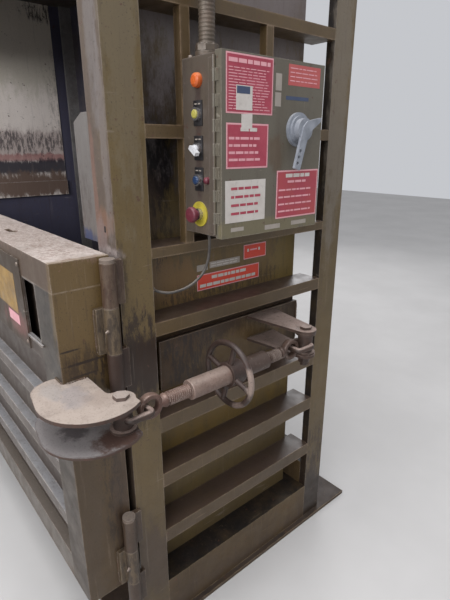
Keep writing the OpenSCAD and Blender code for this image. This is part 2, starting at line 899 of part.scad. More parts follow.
// Platen: a heavy face plate with upright walls and cross ribs under a central boss plate
module platen() {
    face = 25;
    wall = 12;
    notch_x = guide_bar_x - slide;
    notch_y = back_y - guide_bar_d - slide;
    color(olive) difference() {
        union() {
            difference() {
                block([-platen_half, platen_y0, platen_z], [platen_half, platen_y1, platen_top]);
                block([-notch_x + wall, platen_y0 + wall, platen_z + face],
                    [notch_x - wall, platen_y1 - wall, platen_top + cut]);
            }
            for (x = [-560, -280, 280, 560])
                block([x - wall / 2, platen_y0, platen_z], [x + wall / 2, platen_y1, platen_top]);
            block([-notch_x, platen_mid - wall / 2, platen_z], [notch_x, platen_mid + wall / 2, platen_top]);
            block([-150, platen_mid - 150, platen_z], [150, platen_mid + 150, platen_top + boss_h]);
        }
        both_sides() block([notch_x, notch_y, platen_z - cut], [side_x, rear_y, platen_top + cut]);
    }
}

module piston_rod() {
    color(steel) translate([0, platen_mid, 0]) {
        rod_z(piston_rod_r, rod_z0, piston_z);
        rod_z(bore_r - 0.5, piston_z, piston_z + piston_h);
    }
}

// Cylinder barrel with its gland at the foot, its cap, and the plate that sits on the cross channels
module cylinder_barrel() {
    flange_t = 25;
    flange_y = beam_gap / 2 + channel_w - 5;
    cap = 30;
    color(olive) translate([0, platen_mid, 0]) difference() {
        union() {
            rod_z(barrel_r, barrel_z0, barrel_top);
            rod_z(barrel_r + 8, barrel_z0, barrel_z0 + 48);
            block([-150, -flange_y, cross_z], [150, flange_y, cross_z + flange_t]);
            for (z = [low_port_z, top_port_z]) translate([0, 0, z]) rod_x(16, 0, port_x);
        }
        rod_z(bore_r, barrel_z0 + gland_h, barrel_top - cap);
        rod_z(piston_rod_r + 0.1, barrel_z0 - cut, barrel_z0 + gland_h + cut);
    }
}

// Power unit

module oil_tank() {
    wall = 4;
    filler = [tank_x0 + 48, platen_mid + 112, tank_z1];
    y0 = platen_mid - beam_gap / 2 - channel_w;
    y1 = platen_mid + beam_gap / 2 + channel_w;
    color(olive) {
        difference() {
            block([tank_x0, y0, cross_z], [tank_x0 + tank_w, y1, tank_z1]);
            block([tank_x0 + wall, y0 + wall, cross_z + wall],
                [tank_x0 + tank_w - wall, y1 - wall, tank_z1 - wall]);
            translate(filler) rod_z(20, -2 * wall, cut);
        }
        translate(filler) rod_z(28, 0, 34);
    }
}

// Vertical motor on the tank lid: flange, finned body, fan cowl and terminal box
module motor() {
    fins = 12;
    color(grey_olive) translate([motor_x, platen_mid, tank_z1]) {
        rod_z(motor_r + 22, 0, 16);
        rod_z(motor_r - 12, 16, motor_h);
        for (i = [0:fins - 1]) rotate([0, 0, i * 360 / fins]) block([0, -2, 30], [motor_r, 2, motor_h - 70]);
        rod_z(motor_r, motor_h - 70, motor_h);
        block([motor_r - 20, -50, 90], [motor_r + 62, 50, 190]);
    }
}

module valve_block() {
    color(steel) translate([valve_x, platen_mid, tank_z1]) {
        block([-45, -60, 0], [45, 60, 90]);
        for (s = [-1, 1]) translate([0, 0, 60]) rod_y(22, s > 0 ? 60 : -130, s > 0 ? 130 : -60);
        for (y = [-30, 30]) translate([0, y, 0]) rod_z(15, 90, 108);
    }
}

module hoses() {
    hose_r = 11;
    top_port = [port_x, platen_mid, top_port_z];
    low_port = [port_x, platen_mid, low_port_z];
    rear_valve = [valve_x, platen_mid + 30, tank_z1 + 108];
    front_valve = [valve_x, platen_mid - 30, tank_z1 + 108];
    color([0.08, 0.08, 0.08]) {
        sweep(route([rear_valve, rear_valve + [0, 0, 30], rear_valve + [0, 0, 60],
            [valve_x - 60, platen_mid + 24, barrel_top - 180], top_port + [110, 0, 0], top_port + [50, 0, 0],
            top_port], 5), hose_r, 10, [0, 1, 0.1]);
        sweep(route([front_valve, front_valve + [0, 0, 25], front_valve + [0, 0, 50],
            [valve_x - 100, platen_mid - 45, tank_z1 + 190], [valve_x - 205, platen_mid - 50, tank_z1 - 60],
            [valve_x - 215, platen_mid - 40, cross_z + 90], [valve_x - 218, platen_mid - 20, cross_z - 100],
            [valve_x - 220, platen_mid - 5, low_port_z + 180], low_port + [100, 0, 20],
            low_port + [60, 0, 0], low_port + [30, 0, 0], low_port], 4), hose_r, 10, [0, 1, 0.1]);
    }
}

// Control box

module box_struts() {
    wall = 4;
    spans = [[rib_zs[4] + rib_hs[4], rib_zs[5]], [rib_zs[5] + rib_hs[5], rib_zs[6]]];
    color(olive) for (y = strut_ys, span = spans) {
        block([side_x - wall, y, span[0]], [side_x, y + strut_w, span[1]]);
        block([side_x - strut_w, y, span[0]], [side_x - wall, y + wall, span[1]]);
    }
}

// A hole through the front side wall of the box for a panel device
module device_hole(x, z, r) {
    translate([x, 0, z]) rod_y(r, panel_y - cut, panel_y + box_wall + cut);
}

// Segment k of the piano hinge
module piano_knuckle(k) {
    seg = (box_h - 20) / piano_n;
    z = box_z0 + 10 + k * seg + 0.3;
    translate([piano_x, piano_y, 0]) rod_z(piano_r, z, z + seg - 0.6);
}

module control_box() {
    lip = 18;
    z0 = box_z0 + body_in;
    z1 = box_z1 - body_in;
    y1 = box_y1 - body_in;
    color(olive) {
        difference() {
            block([box_x0, panel_y, z0], [box_x1, y1, z1]);
            block([box_x0 + box_wall, panel_y + box_wall, z0 + box_wall],
                [box_x1 - box_wall, y1 - box_wall, z1 - box_wall]);
            block([box_x1 - 2 * box_wall, panel_y + lip, z0 + lip], [box_x1 + cut, y1 - lip, z1 - lip]);
            for (z = [yellow_z, select_z, blue_z, estop_z, lamp_z]) device_hole(device_x, z, device_r);
            device_hole(pilot_x, blue_z, small_hole_r + 0.2);
            translate([fitting_x, fitting_y, 0]) rod_z(conduit_r - 4, z1 - box_wall - cut, z1 + cut);
            translate([gland_x, gland_y, 0]) rod_z(6, z0 - cut, z0 + box_wall + cut);
        }
        block([piano_x - 22, piano_y + 2, z0 + 10], [piano_x - piano_r - 0.5, panel_y, z1 - 10]);
        for (k = [0:2:piano_n - 1]) piano_knuckle(k);
        translate([piano_x, piano_y, 0]) rod_z(piano_pin_r, box_z0 + 12, box_z1 - 12);
        for (k = [0:2:piano_n - 1]) intersection() {
            seg = (box_h - 20) / piano_n;
            z = box_z0 + 10 + k * seg + 0.3;
            block([piano_x - 6, piano_y - 1, z], [piano_x, piano_y + 4.5, z + seg - 0.6]);
            block([piano_x - 6, piano_y + 1, z], [piano_x, piano_y + 4, z + seg]);
        }
    }
}

module box_door() {
    seg = (box_h - 20) / piano_n;
    x0 = box_x1 + box_wall;
    color(grey_olive) difference() {
        union() {
            difference() {
                block([x0, box_y0, box_z0], [tray_x1, box_y1, box_z1]);
                block([x0 - cut, box_y0 + box_wall, box_z0 + box_wall],
                    [tray_x1 - box_wall, box_y1 - box_wall, box_z1 - box_wall]);
            }
            for (k = [1:2:piano_n - 1]) {
                piano_knuckle(k);
                z = box_z0 + 10 + k * seg + 0.3;
                block([piano_x, piano_y + 1, z], [piano_x + 16, box_y0 + 0.5, z + seg - 0.6]);
            }
        }
        translate([piano_x, piano_y, 0]) rod_z(piano_pin_r + run, box_z0, box_z1);
        translate([0, switch_y, switch_z]) rod_x(spindle_r + run, tray_x1 - box_wall - cut, tray_x1 + cut);
    }
}

// Back plate on four spacers, with the parts it carries
module box_backplate() {
    x0 = box_x0 + box_wall;
    plate_x = x0 + 6;
    color(steel) {
        block([plate_x, box_y0 + 30, box_z0 + 30], [plate_x + 3, box_y1 - 30, box_z1 - 30]);
        for (y = [box_y0 + 45, box_y1 - 45], z = [box_z0 + 45, box_z1 - 45])
            translate([0, y, z]) rod_x(6, x0, plate_x);
        block([plate_x + 3, box_y0 + 80, box_z0 + 250], [plate_x + 75, box_y0 + 150, box_z0 + 340]);
        block([plate_x + 3, box_y0 + 80, box_z0 + 130], [plate_x + 70, box_y0 + 150, box_z0 + 210]);
        block([plate_x + 3, box_y0 + 200, box_z0 + 60], [plate_x + 70, box_y0 + 300, box_z0 + 140]);
        block([plate_x + 3, switch_y - 60, switch_z - 70], [plate_x + 60, switch_y + 50, switch_z + 70]);
        block([plate_x + 3, box_y0 + 60, box_z0 + 45], [plate_x + 30, box_y0 + 180, box_z0 + 75]);
    }
}

// Bezel of one push button: a ring on the panel, a barrel behind it and a bore for the stem
module bezel() {
    ring = 12;
    barrel = 45;
    difference() {
        union() {
            rod_y(bezel_r, -ring, 0);
            rod_y(device_r - 0.2, 0, barrel);
        }
        rod_y(cap_r + 0.3, -ring - cut, -0.5);
        rod_y(stem_r + run, -ring, barrel + cut);
    }
}

module at_panel(z) {
    translate([device_x, panel_y, z]) children();
}

module button_bezels() {
    color([0.72, 0.72, 0.74]) {
        at_panel(yellow_z) bezel();
        at_panel(blue_z) bezel();
        at_panel(select_z) bezel();
        at_panel(estop_z) bezel();
    }
}

// Round plate round the bezel of the emergency stop
module estop_plate() {
    plate = 3;
    color([0.74, 0.68, 0.30]) at_panel(estop_z) difference() {
        rod_y(32, -plate, 0);
        rod_y(bezel_r + 0.1, -plate - cut, cut);
    }
}

// A push button: domed cap and long stem
module button() {
    rotate([90, 0, 0]) rotate_extrude($fn = 48) polygon([
        [0, -40],
        [stem_r, -40],
        [stem_r, 5],
        [cap_r, 5],
        [cap_r, 14],
        [cap_r - 2, 16],
        [0, 17]
    ]);
}

module button_yellow() {
    color([0.78, 0.72, 0.28]) at_panel(yellow_z) button();
}

module button_blue() {
    color([0.13, 0.20, 0.32]) at_panel(blue_z) button();
}

module estop_button() {
    color([0.72, 0.20, 0.25]) at_panel(estop_z) rotate([90, 0, 0]) rotate_extrude($fn = 64) polygon([
        [0, -40],
        [stem_r, -40],
        [stem_r, 6],
        [cap_r, 6],
        [cap_r, 18],
        [estop_r - 4, 20],
        [estop_r, 23],
        [estop_r, 31],
        [estop_r - 3, 35],
        [0, 37]
    ]);
}

module selector_switch() {
    color([0.75, 0.75, 0.77]) at_panel(select_z) {
        rod_y(stem_r, -6, 40);
        rod_y(cap_r, -15, -6);
        rotate([0, 35, 0]) block([-8, -27, -5], [22, -14, 5]);
    }
}

module lamp_orange() {
    color([0.82, 0.38, 0.16]) at_panel(lamp_z) rotate([90, 0, 0]) rotate_extrude($fn = 64) polygon([
        [0, -30],
        [device_r - 0.2, -30],
        [device_r - 0.2, 0],
        [17, 0],
        [17, 5],
        [15.5, 11],
        [10, 15],
        [0, 16]
    ]);
}

module pilot_red() {
    color([0.62, 0.16, 0.18]) translate([pilot_x, panel_y, blue_z]) rotate([90, 0, 0])
        rotate_extrude($fn = 48) polygon([
            [0, -20],
            [small_hole_r, -20],
            [small_hole_r, 0],
            [9, 0],
            [8, 8],
            [4, 11],
            [0, 12]
        ]);
}

module switch_base() {
    color([0.62, 0.62, 0.60]) translate([0, switch_y, switch_z]) difference() {
        union() {
            rod_x(switch_r, tray_x1, tray_x1 + 8);
            rod_x(switch_r - 8, tray_x1 + 8, tray_x1 + 14);
        }
        rod_x(spindle_r + run, tray_x1 - cut, tray_x1 + 15);
    }
}

// Lever handle of the disconnect switch: a round hub under a flat lever that hangs down. The lever has three
// padlock holes, and a pointer on its other end.
module switch_handle() {
    hub_x = tray_x1 + 14.3;
    hub_h = 16;
    disc_r = 28;
    lever_t = 8;
    reach = 104;
    tilt = -17;
    color([0.72, 0.73, 0.72]) translate([0, switch_y, switch_z]) {
        rod_x(spindle_r, tray_x1 - 20, hub_x + 1);
        rod_x(disc_r, hub_x, hub_x + hub_h);
        rotate([tilt, 0, 0]) difference() {
            translate([hub_x + hub_h - lever_t / 2, 0, 0]) rotate([90, 0, 90]) linear_extrude(lever_t)
                polygon([
                    [-11, -reach],
                    [11, -reach],
                    [12, -14],
                    [22, 6],
                    [48, 36],
                    [46, 46],
                    [26, 36],
                    [-4, 20],
                    [-14, 2]
                ]);
            for (z = [-reach + 15, -reach + 31, -reach + 47])
                translate([0, -4, z]) rod_x(4.5, hub_x, hub_x + hub_h + lever_t);
        }
    }
}

module conduit_fitting() {
    z = box_z1 - body_in;
    color(steel) translate([fitting_x, fitting_y, 0]) difference() {
        union() {
            rod_z(conduit_r + 9, z, z + 14);
            rod_z(conduit_r + 5, z + 14, z + 32);
        }
        rod_z(conduit_r - 4, z - cut, z + 33);
    }
}

// Flexible conduit from the box up to the motor
module conduit() {
    z = box_z1 - body_in + 32;
    end_x = motor_x + motor_r + 62;
    start = [fitting_x, fitting_y, z];
    end = [end_x, platen_mid, tank_z1 + 140];
    color(steel) sweep(route([start, start + [0, 0, 40], start + [0, 0, 80], [1058, -200, 2150],
        [1052, -200, 2500], [1050, -198, 2850], [1048, -190, 3060], [1030, -170, 3260], [1000, -130, 3450],
        [940, -70, 3550], end + [70, 0, 0], end + [35, 0, 0], end], 3), conduit_r, 12, [0.2, 1, 0.35]);
}

// Thin cable from the foot of the box to the front post
module sensor_cable() {
    z0 = box_z0 + body_in;
    cable_r = 4;
    color([0.08, 0.08, 0.08]) {
        translate([gland_x, gland_y, 0]) rod_z(9, z0 - 10, z0);
        translate([side_x - 12, 0, 1224]) rod_y(8, sheet_y0, sheet_y0 + 8);
        sweep(route([[gland_x, gland_y, z0 - 10], [box_x0 + 48, box_y0 + 44, 1330],
            [box_x0 + 44, box_y0 + 40, 1290], [box_x0 + 36, box_y0 + 24, 1252],
            [box_x0 + 24, box_y0 - 14, 1223], [box_x0 + 8, box_y0 - 58, 1211],
            [box_x0 - 6, box_y0 - 86, 1215], [side_x - 12, sheet_y0 + 8, 1224]], 4),
            cable_r, 8, [1, 0.15, 0]);
    }
}

front_posts();
rear_posts();
base_skids();
floor_beams();
chamber_floor();
side_sheets();
back_sheet();
wall_liners();
side_ribs();
back_ribs();
top_frame();
header_panel();
gate_guides();
guard_plates();
platen_guides();
door_keeper();
control_box();
box_backplate();
box_struts();
button_bezels();
estop_plate();
lamp_orange();
pilot_red();
conduit_fitting();
conduit();
sensor_cable();
anchor_pad();
anchor_bracket();
anchor_bolt();
anchor_yoke();
rear_eye_rod();
frame_knuckles();
hinge_pins();
cylinder_barrel();
oil_tank();
motor();
valve_block();
hoses();
door_stiles();
door_rails();
door_skin();
door_ribs();
sign_panel();
horn_plates();
horn_bolt();
door_knuckles();
horn_yoke();
front_eye_rod();
jack_sleeve();
hand_wheel();
feed_gate();
platen();
piston_rod();
box_door();
switch_base();
switch_handle();
button_yellow();
button_blue();
estop_button();
selector_switch();
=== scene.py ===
"""Looks for the vertical recycling baler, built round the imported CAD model. Metres, same frame as the CAD."""
import math
import random

import bmesh
import bpy
from mathutils import Matrix, Vector


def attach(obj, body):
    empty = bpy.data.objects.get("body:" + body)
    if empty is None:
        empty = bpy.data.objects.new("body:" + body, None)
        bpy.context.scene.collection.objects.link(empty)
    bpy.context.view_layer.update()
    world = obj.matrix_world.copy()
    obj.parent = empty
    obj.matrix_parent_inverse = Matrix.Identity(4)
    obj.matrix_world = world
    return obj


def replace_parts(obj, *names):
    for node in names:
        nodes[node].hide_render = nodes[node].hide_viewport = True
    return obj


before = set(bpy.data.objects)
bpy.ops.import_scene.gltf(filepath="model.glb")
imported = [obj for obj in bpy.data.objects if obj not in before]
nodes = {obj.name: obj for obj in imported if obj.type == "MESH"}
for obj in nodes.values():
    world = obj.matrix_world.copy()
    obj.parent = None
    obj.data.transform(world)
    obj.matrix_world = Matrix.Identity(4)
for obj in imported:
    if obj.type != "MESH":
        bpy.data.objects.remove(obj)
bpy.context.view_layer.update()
random.seed(7)

# Main planes and places of the machine, as in the CAD
SIDE = 1.015
FRONT = -0.456
REAR = 0.456
POST = 0.1
SHEET_X = 0.921
LINER_X = -0.909
MID = -0.034
DOOR_FRONT = -0.627
SIGN_FACE = -0.631
HINGE = Vector((1.0355, -0.493, 0))
HINGE_FEET = [0.198, 0.977]
FIXED_KNUCKLE = 0.114
DOOR_KNUCKLE = 0.123
KNUCKLE_STEP = 0.239
JACK_X = 1.163
JACK_Z = 0.986
HORN_BOLT_Y = -0.547
HORN_Z = [0.944, 0.953, 1.028, 1.037]
ANCHOR_Y = 0.1144
ANCHOR_FOOT = 0.064
PAD_X = 0.955
PAD_STEP_X = 0.937
PAD_Y = [-0.311, 0.304]
PAD_BOTTOM = 0.880
PAD_STEP_Z = 1.039
BOX_FACE = 1.169
PANEL_Y = -0.241
DEVICE_X = 1.078
BUTTON_Z = [1.670, 1.589, 1.514]
BOX_TOP = 1.798
BOX_TOP_BOLTS = [(1.034, -0.229), (1.022, -0.196)]
CONDUIT = (1.060, -0.198)
RIB_BOTTOMS = [0.351, 0.573, 0.773, 1.089, 1.313, 1.614, 1.914]
RIB_HEIGHTS = [0.050, 0.050, 0.050, 0.041, 0.028, 0.033, 0.033]
MOTOR_X = 0.680
GRILLE_Z = 3.7315
TANK_TOP = 3.430

# Radius of the wires of the fan grille, and how far a weld bead stands off the faces
WIRE = 0.0016
BEAD = 0.001


def srgb(r, g, b):
    """A colour as it would be read off a screen, in the units that the shaders use."""
    def linear(c):
        c /= 255
        return c / 12.92 if c <= 0.04045 else ((c + 0.055) / 1.055) ** 2.4
    return (linear(r), linear(g), linear(b), 1.0)


# Materials


class Shader:
    """A material being built: a principled shader and short calls for the nodes that feed it."""

    def __init__(self, name):
        self.mat = bpy.data.materials.new(name)
        self.mat.use_nodes = True
        self.tree = self.mat.node_tree
        self.tree.nodes.clear()
        out = self.node("ShaderNodeOutputMaterial")
        self.bsdf = self.node("ShaderNodeBsdfPrincipled")
        self.link(self.bsdf.outputs[0], out.inputs[0])
        self.pos = self.node("ShaderNodeTexCoord").outputs["Object"]
        self.height = None

    def node(self, kind, **props):
        made = self.tree.nodes.new(kind)
        for key, value in props.items():
            setattr(made, key, value)
        return made

    def link(self, a, b):
        self.tree.links.new(a, b)

    def feed(self, socket, value):
        if isinstance(value, (int, float, tuple)):
            socket.default_value = value
        else:
            self.link(value, socket)

    def place(self, scale=(1, 1, 1), shift=(0, 0, 0)):
        mapping = self.node("ShaderNodeMapping")
        mapping.inputs["Scale"].default_value = scale
        mapping.inputs["Location"].default_value = shift
        self.link(self.pos, mapping.inputs["Vector"])
        return mapping.outputs[0]

    def noise(self, scale, detail, rough, vec=None, warp=0.0):
        tex = self.node("ShaderNodeTexNoise")
        self.link(vec or self.pos, tex.inputs["Vector"])
        tex.inputs["Scale"].default_value = scale
        tex.inputs["Detail"].default_value = detail
        tex.inputs["Roughness"].default_value = rough
        tex.inputs["Distortion"].default_value = warp
        return tex.outputs["Fac"]

    def span(self, fac, low, high, to=(0.0, 1.0), smooth=True):
        ramp = self.node("ShaderNodeMapRange", interpolation_type="SMOOTHSTEP" if smooth else "LINEAR")
        self.link(fac, ramp.inputs["Value"])
        ramp.inputs["From Min"].default_value = low
        ramp.inputs["From Max"].default_value = high
        ramp.inputs["To Min"].default_value = to[0]
        ramp.inputs["To Max"].default_value = to[1]
        return ramp.outputs[0]

    def calc(self, op, a, b):
        result = self.node("ShaderNodeMath", operation=op)
        self.feed(result.inputs[0], a)
        self.feed(result.inputs[1], b)
        return result.outputs[0]

    def vector(self, op, a, b=(0, 0, 0)):
        result = self.node("ShaderNodeVectorMath", operation=op)
        self.feed(result.inputs[0], a)
        self.feed(result.inputs[1], b)
        return result.outputs

    def split(self, vector):
        parts = self.node("ShaderNodeSeparateXYZ")
        self.link(vector, parts.inputs[0])
        return parts.outputs

    def normal(self):
        return self.node("ShaderNodeNewGeometry").outputs["Normal"]

    def lay(self, colour, tone, mask, amount=1.0):
        """The colour with a tone laid over it, as strongly as the mask and the amount say."""
        mix = self.node("ShaderNodeMix", data_type="RGBA")
        self.feed(mix.inputs[0], self.calc("MULTIPLY", mask, amount))
        self.feed(mix.inputs[6], colour)
        self.feed(mix.inputs[7], srgb(*tone))
        return mix.outputs[2]

    def patchy(self, noise, low, high, amount, least):
        """The amount where the noise is high, and only the share of it called least where it is low."""
        return self.span(self.noise(*noise), low, high, (amount * least, amount))

    def facing(self, axis, low=0.5, high=0.9, sign=1.0):
        """1 where the surface faces along an axis of the machine, else 0."""
        return self.span(self.calc("MULTIPLY", self.split(self.normal())[axis], sign), low, high)

    def along(self, axis, low, high):
        """Runs from 0 to 1 along an axis of the machine, between two places."""
        return self.span(self.split(self.pos)[axis], low, high)

    def inward(self):
        """1 on the faces that look towards the middle of the machine, else 0."""
        outward = self.calc("MULTIPLY", self.split(self.normal())["X"], self.split(self.pos)["X"])
        return self.span(outward, -0.3, -0.7)

    def edges(self, radius):
        """1 along the outer edges of the piece."""
        bevel = self.node("ShaderNodeBevel", samples=4)
        bevel.inputs["Radius"].default_value = radius
        dot = self.vector("DOT_PRODUCT", bevel.outputs[0], self.normal())
        return self.span(self.calc("SUBTRACT", 1.0, dot["Value"]), 0.03, 0.3)

    def spot(self, centre, radii, ragged=0.5):
        """1 inside a ragged patch round a place on the machine, fading to 0 outside."""
        shift = self.vector("SUBTRACT", self.pos, centre)
        size = self.vector("MULTIPLY", shift["Vector"], tuple(1 / r for r in radii))
        length = self.vector("LENGTH", size["Vector"])
        rag = self.noise(22, 6, 0.78, self.place((1, 1, 0.4)))
        rag = self.span(rag, 0.28, 0.72, (-ragged, ragged), smooth=False)
        return self.span(self.calc("ADD", length["Value"], rag), 1.15, 0.6)

    def bump(self, height, distance, strength):
        bump = self.node("ShaderNodeBump")
        bump.inputs["Strength"].default_value = strength
        bump.inputs["Distance"].default_value = distance
        self.link(height, bump.inputs["Height"])
        if self.height is not None:
            self.link(self.height, bump.inputs["Normal"])
        self.height = bump.outputs[0]

    def finish(self, colour, roughness, metallic=0.0):
        self.feed(self.bsdf.inputs["Base Color"], colour)
        self.feed(self.bsdf.inputs["Roughness"], roughness)
        self.feed(self.bsdf.inputs["Metallic"], metallic)
        if self.height is not None:
            self.link(self.height, self.bsdf.inputs["Normal"])
        return self.mat


def painted(name, base, shade, dirt=(60, 47, 38), chip=(78, 52, 42), bare_and_highlight=(150, 140, 132), top=None,
        top_amount=0.0, front=None, front_amount=0.0, inside=None, darker_low=None, streak=0.35, grit=0.5,
        scuff=0.25, edge_wear_and_highlight=0.5, edge_r=0.006, gloss=0.42, spots=(), splashes_and_shade=()):
    """Old gloss paint: blotches, streaks, chips, scuffs, placed patches, worn edges with a painted highlight,
    tops tinted with dirt and with painted light and shade, fronts with a paint tone and painted shade, inner
    faces with painted shade.
    """
    s = Shader(name)
    broad = s.noise(2.3, 6, 0.65)
    colour = s.lay(srgb(*base), shade, s.span(broad, 0.35, 0.68), 0.8)
    # Faces looking along -Y get a tint: partly the paint's own tone there, partly painted shade
    if front:
        strength = s.patchy((9, 5, 0.7), 0.2, 0.6, front_amount, 0.6)
        colour = s.lay(colour, front, s.facing("Y", sign=-1.0), strength)
    # Upper faces get a tint: dirt on some pieces, a painted light from above on some, a painted shade on others
    if top:
        colour = s.lay(colour, top, s.facing("Z"), s.patchy((14, 6, 0.7), 0.25, 0.6, top_amount, 0.55))
    # Painted shade on the faces that look into the machine
    if inside:
        colour = s.lay(colour, inside, s.inward(), 0.92)
    runs = s.noise(7, 5, 0.65, s.place((1, 1, 0.09)))
    colour = s.lay(colour, dirt, s.span(runs, 0.5, 0.78), streak)
    mottle = s.span(s.noise(75, 4, 0.7), 0.5, 0.8)
    colour = s.lay(colour, shade, mottle, 0.35)
    # Darker towards the bottom
    if darker_low:
        bottom, end, amount = darker_low
        strength = s.patchy((12, 6, 0.75), 0.3, 0.6, amount, 0.4)
        colour = s.lay(colour, dirt, s.along("Z", end, bottom), strength)
    scratch = s.span(s.noise(60, 2, 0.5, s.place((1, 0.12, 1), (3, 1, 2)), warp=0.6), 0.70, 0.74)
    colour = s.lay(colour, bare_and_highlight, scratch, scuff)
    for centre, radii, tint, amount in spots:
        colour = s.lay(colour, tint, s.spot(centre, radii), amount)
    thin_runs = s.noise(70, 5, 0.75, s.place((1, 1, 0.07), (2, 5, 1)))
    colour = s.lay(colour, dirt, s.span(thin_runs, 0.55, 0.68), 0.55 * grit)
    light_runs = s.noise(55, 5, 0.7, s.place((1, 1, 0.05), (7, 1, 4)))
    colour = s.lay(colour, bare_and_highlight, s.span(light_runs, 0.60, 0.72), 0.3 * grit)
    if splashes_and_shade:
        streaky_mask = s.span(s.noise(85, 6, 0.8, s.place((1, 1, 0.22), (1, 8, 3))), 0.47, 0.53)
        for centre, radii, tint, amount in splashes_and_shade:
            colour = s.lay(colour, tint, s.spot(centre, radii, 0.8), s.calc("MULTIPLY", streaky_mask, amount))
    specks = s.span(s.noise(190, 4, 0.75), 0.60, 0.66)
    colour = s.lay(colour, [c * 0.62 for c in dirt], specks, grit)
    chips = s.span(s.noise(38, 5, 0.7), 0.64, 0.68)
    colour = s.lay(colour, chip, chips, 0.75)
    # Worn edges, lightened also as a painted highlight along the edges
    rim = s.calc("MULTIPLY", s.edges(edge_r), s.patchy((26, 5, 0.7), 0.36, 0.6, 1.0, 0.15))
    colour = s.lay(colour, bare_and_highlight, rim, edge_wear_and_highlight)
    s.bump(s.noise(240, 3, 0.6), 0.0004, 0.25)
    s.bump(s.calc("SUBTRACT", broad, s.calc("MULTIPLY", chips, 0.4)), 0.0015, 0.35)
    return s.finish(colour, s.span(s.noise(18, 5, 0.6), 0.2, 0.8, (gloss - 0.08, gloss + 0.16)))


def metal(name, base, shade, metallic, rust=(92, 62, 48), rust_amount=0.5, roughness=0.45, spots=(),
        top=None, top_amount=0.0, grime=0.3, edge_tint=(190, 176, 166), edge_wear_and_highlight=0.6):
    """Bare steel: rubbed and stained, with rust in patches, dark specks, pale edges that are worn and carry a
    painted highlight, and painted light on the tops.
    """
    dark = (48, 38, 34)
    s = Shader(name)
    broad = s.noise(9, 6, 0.7)
    colour = s.lay(srgb(*base), shade, s.span(broad, 0.35, 0.7))
    patch = s.calc("MULTIPLY", s.span(s.noise(26, 7, 0.75), 0.44, 0.62), rust_amount)
    # Upper faces get a lighter tint, a painted light from above, and lose their rust
    if top:
        colour = s.lay(colour, top, s.facing("Z"), s.patchy((22, 5, 0.7), 0.2, 0.55, top_amount, 0.6))
        clear = s.calc("SUBTRACT", 1.0, s.calc("MULTIPLY", s.facing("Z"), top_amount))
        patch = s.calc("MULTIPLY", patch, clear)
    colour = s.lay(colour, rust, patch)
    colour = s.lay(colour, dark, s.span(s.noise(60, 5, 0.7), 0.52, 0.72), grime)
    for centre, radii, tint, amount in spots:
        colour = s.lay(colour, tint, s.spot(centre, radii), amount)
    specks = s.span(s.noise(210, 5, 0.75), 0.56, 0.64)
    colour = s.lay(colour, dark, specks, 0.25 + grime)
    pale = s.span(s.noise(120, 4, 0.7, s.place(shift=(4, 2, 9))), 0.60, 0.70)
    colour = s.lay(colour, edge_tint, pale, 0.2)
    # Edges in the edge tint: worn metal, and where the tint is pale a painted highlight
    rim = s.calc("MULTIPLY", s.edges(0.004), s.patchy((30, 4, 0.6), 0.35, 0.6, 1.0, 0.2))
    colour = s.lay(colour, edge_tint, rim, edge_wear_and_highlight)
    scratch = s.noise(90, 3, 0.6, s.place((0.3, 1, 1)), warp=0.3)
    rough = s.span(scratch, 0.3, 0.7, (roughness - 0.08, roughness + 0.08))
    rough = s.calc("ADD", rough, s.calc("MULTIPLY", patch, 0.3))
    shine = s.calc("MULTIPLY", s.calc("SUBTRACT", 1.0, patch), metallic)
    s.bump(s.noise(150, 4, 0.65), 0.0006, 0.35)
    s.bump(broad, 0.0012, 0.3)
    return s.finish(colour, rough, shine)


def moulded(name, tone, shade, roughness, dust_and_highlight=(150, 142, 134), dust_and_highlight_amount=0.3):
    """Plastic or rubber with fine worn specks and dusty upper faces; on the lamp the upper tint is a painted
    highlight.
    """
    s = Shader(name)
    colour = s.lay(srgb(*tone), shade, s.span(s.noise(30, 5, 0.6), 0.3, 0.75))
    # Upper faces tinted: dust, and on the lamp a painted highlight
    colour = s.lay(colour, dust_and_highlight, s.facing("Z", 0.2, 0.9), s.patchy((90, 4, 0.7), 0.3, 0.7, dust_and_highlight_amount, 0.5))
    colour = s.lay(colour, shade, s.span(s.noise(220, 3, 0.6), 0.6, 0.7), 0.25)
    s.bump(s.noise(400, 2, 0.5), 0.0002, 0.3)
    return s.finish(colour, s.span(s.noise(60, 4, 0.6), 0.3, 0.7, (roughness - 0.06, roughness + 0.12)))


def printed(name, tone, faded, fade, grime):
    """A label or sticker: print that has faded in patches and picked up grime."""
    s = Shader(name)
    colour = s.lay(srgb(*tone), faded, s.span(s.noise(16, 6, 0.7), 0.35, 0.7), fade)
    colour = s.lay(colour, (92, 80, 66), s.span(s.noise(70, 5, 0.7), 0.52, 0.75), grime)
    s.bump(s.noise(120, 3, 0.6), 0.0002, 0.3)
    return s.finish(colour, s.span(s.noise(24, 4, 0.6), 0.3, 0.7, (0.33, 0.53)))


OLIVE = (100, 87, 59)
OLIVE_DARK = (80, 68, 45)
GREY_OLIVE = (104, 96, 78)

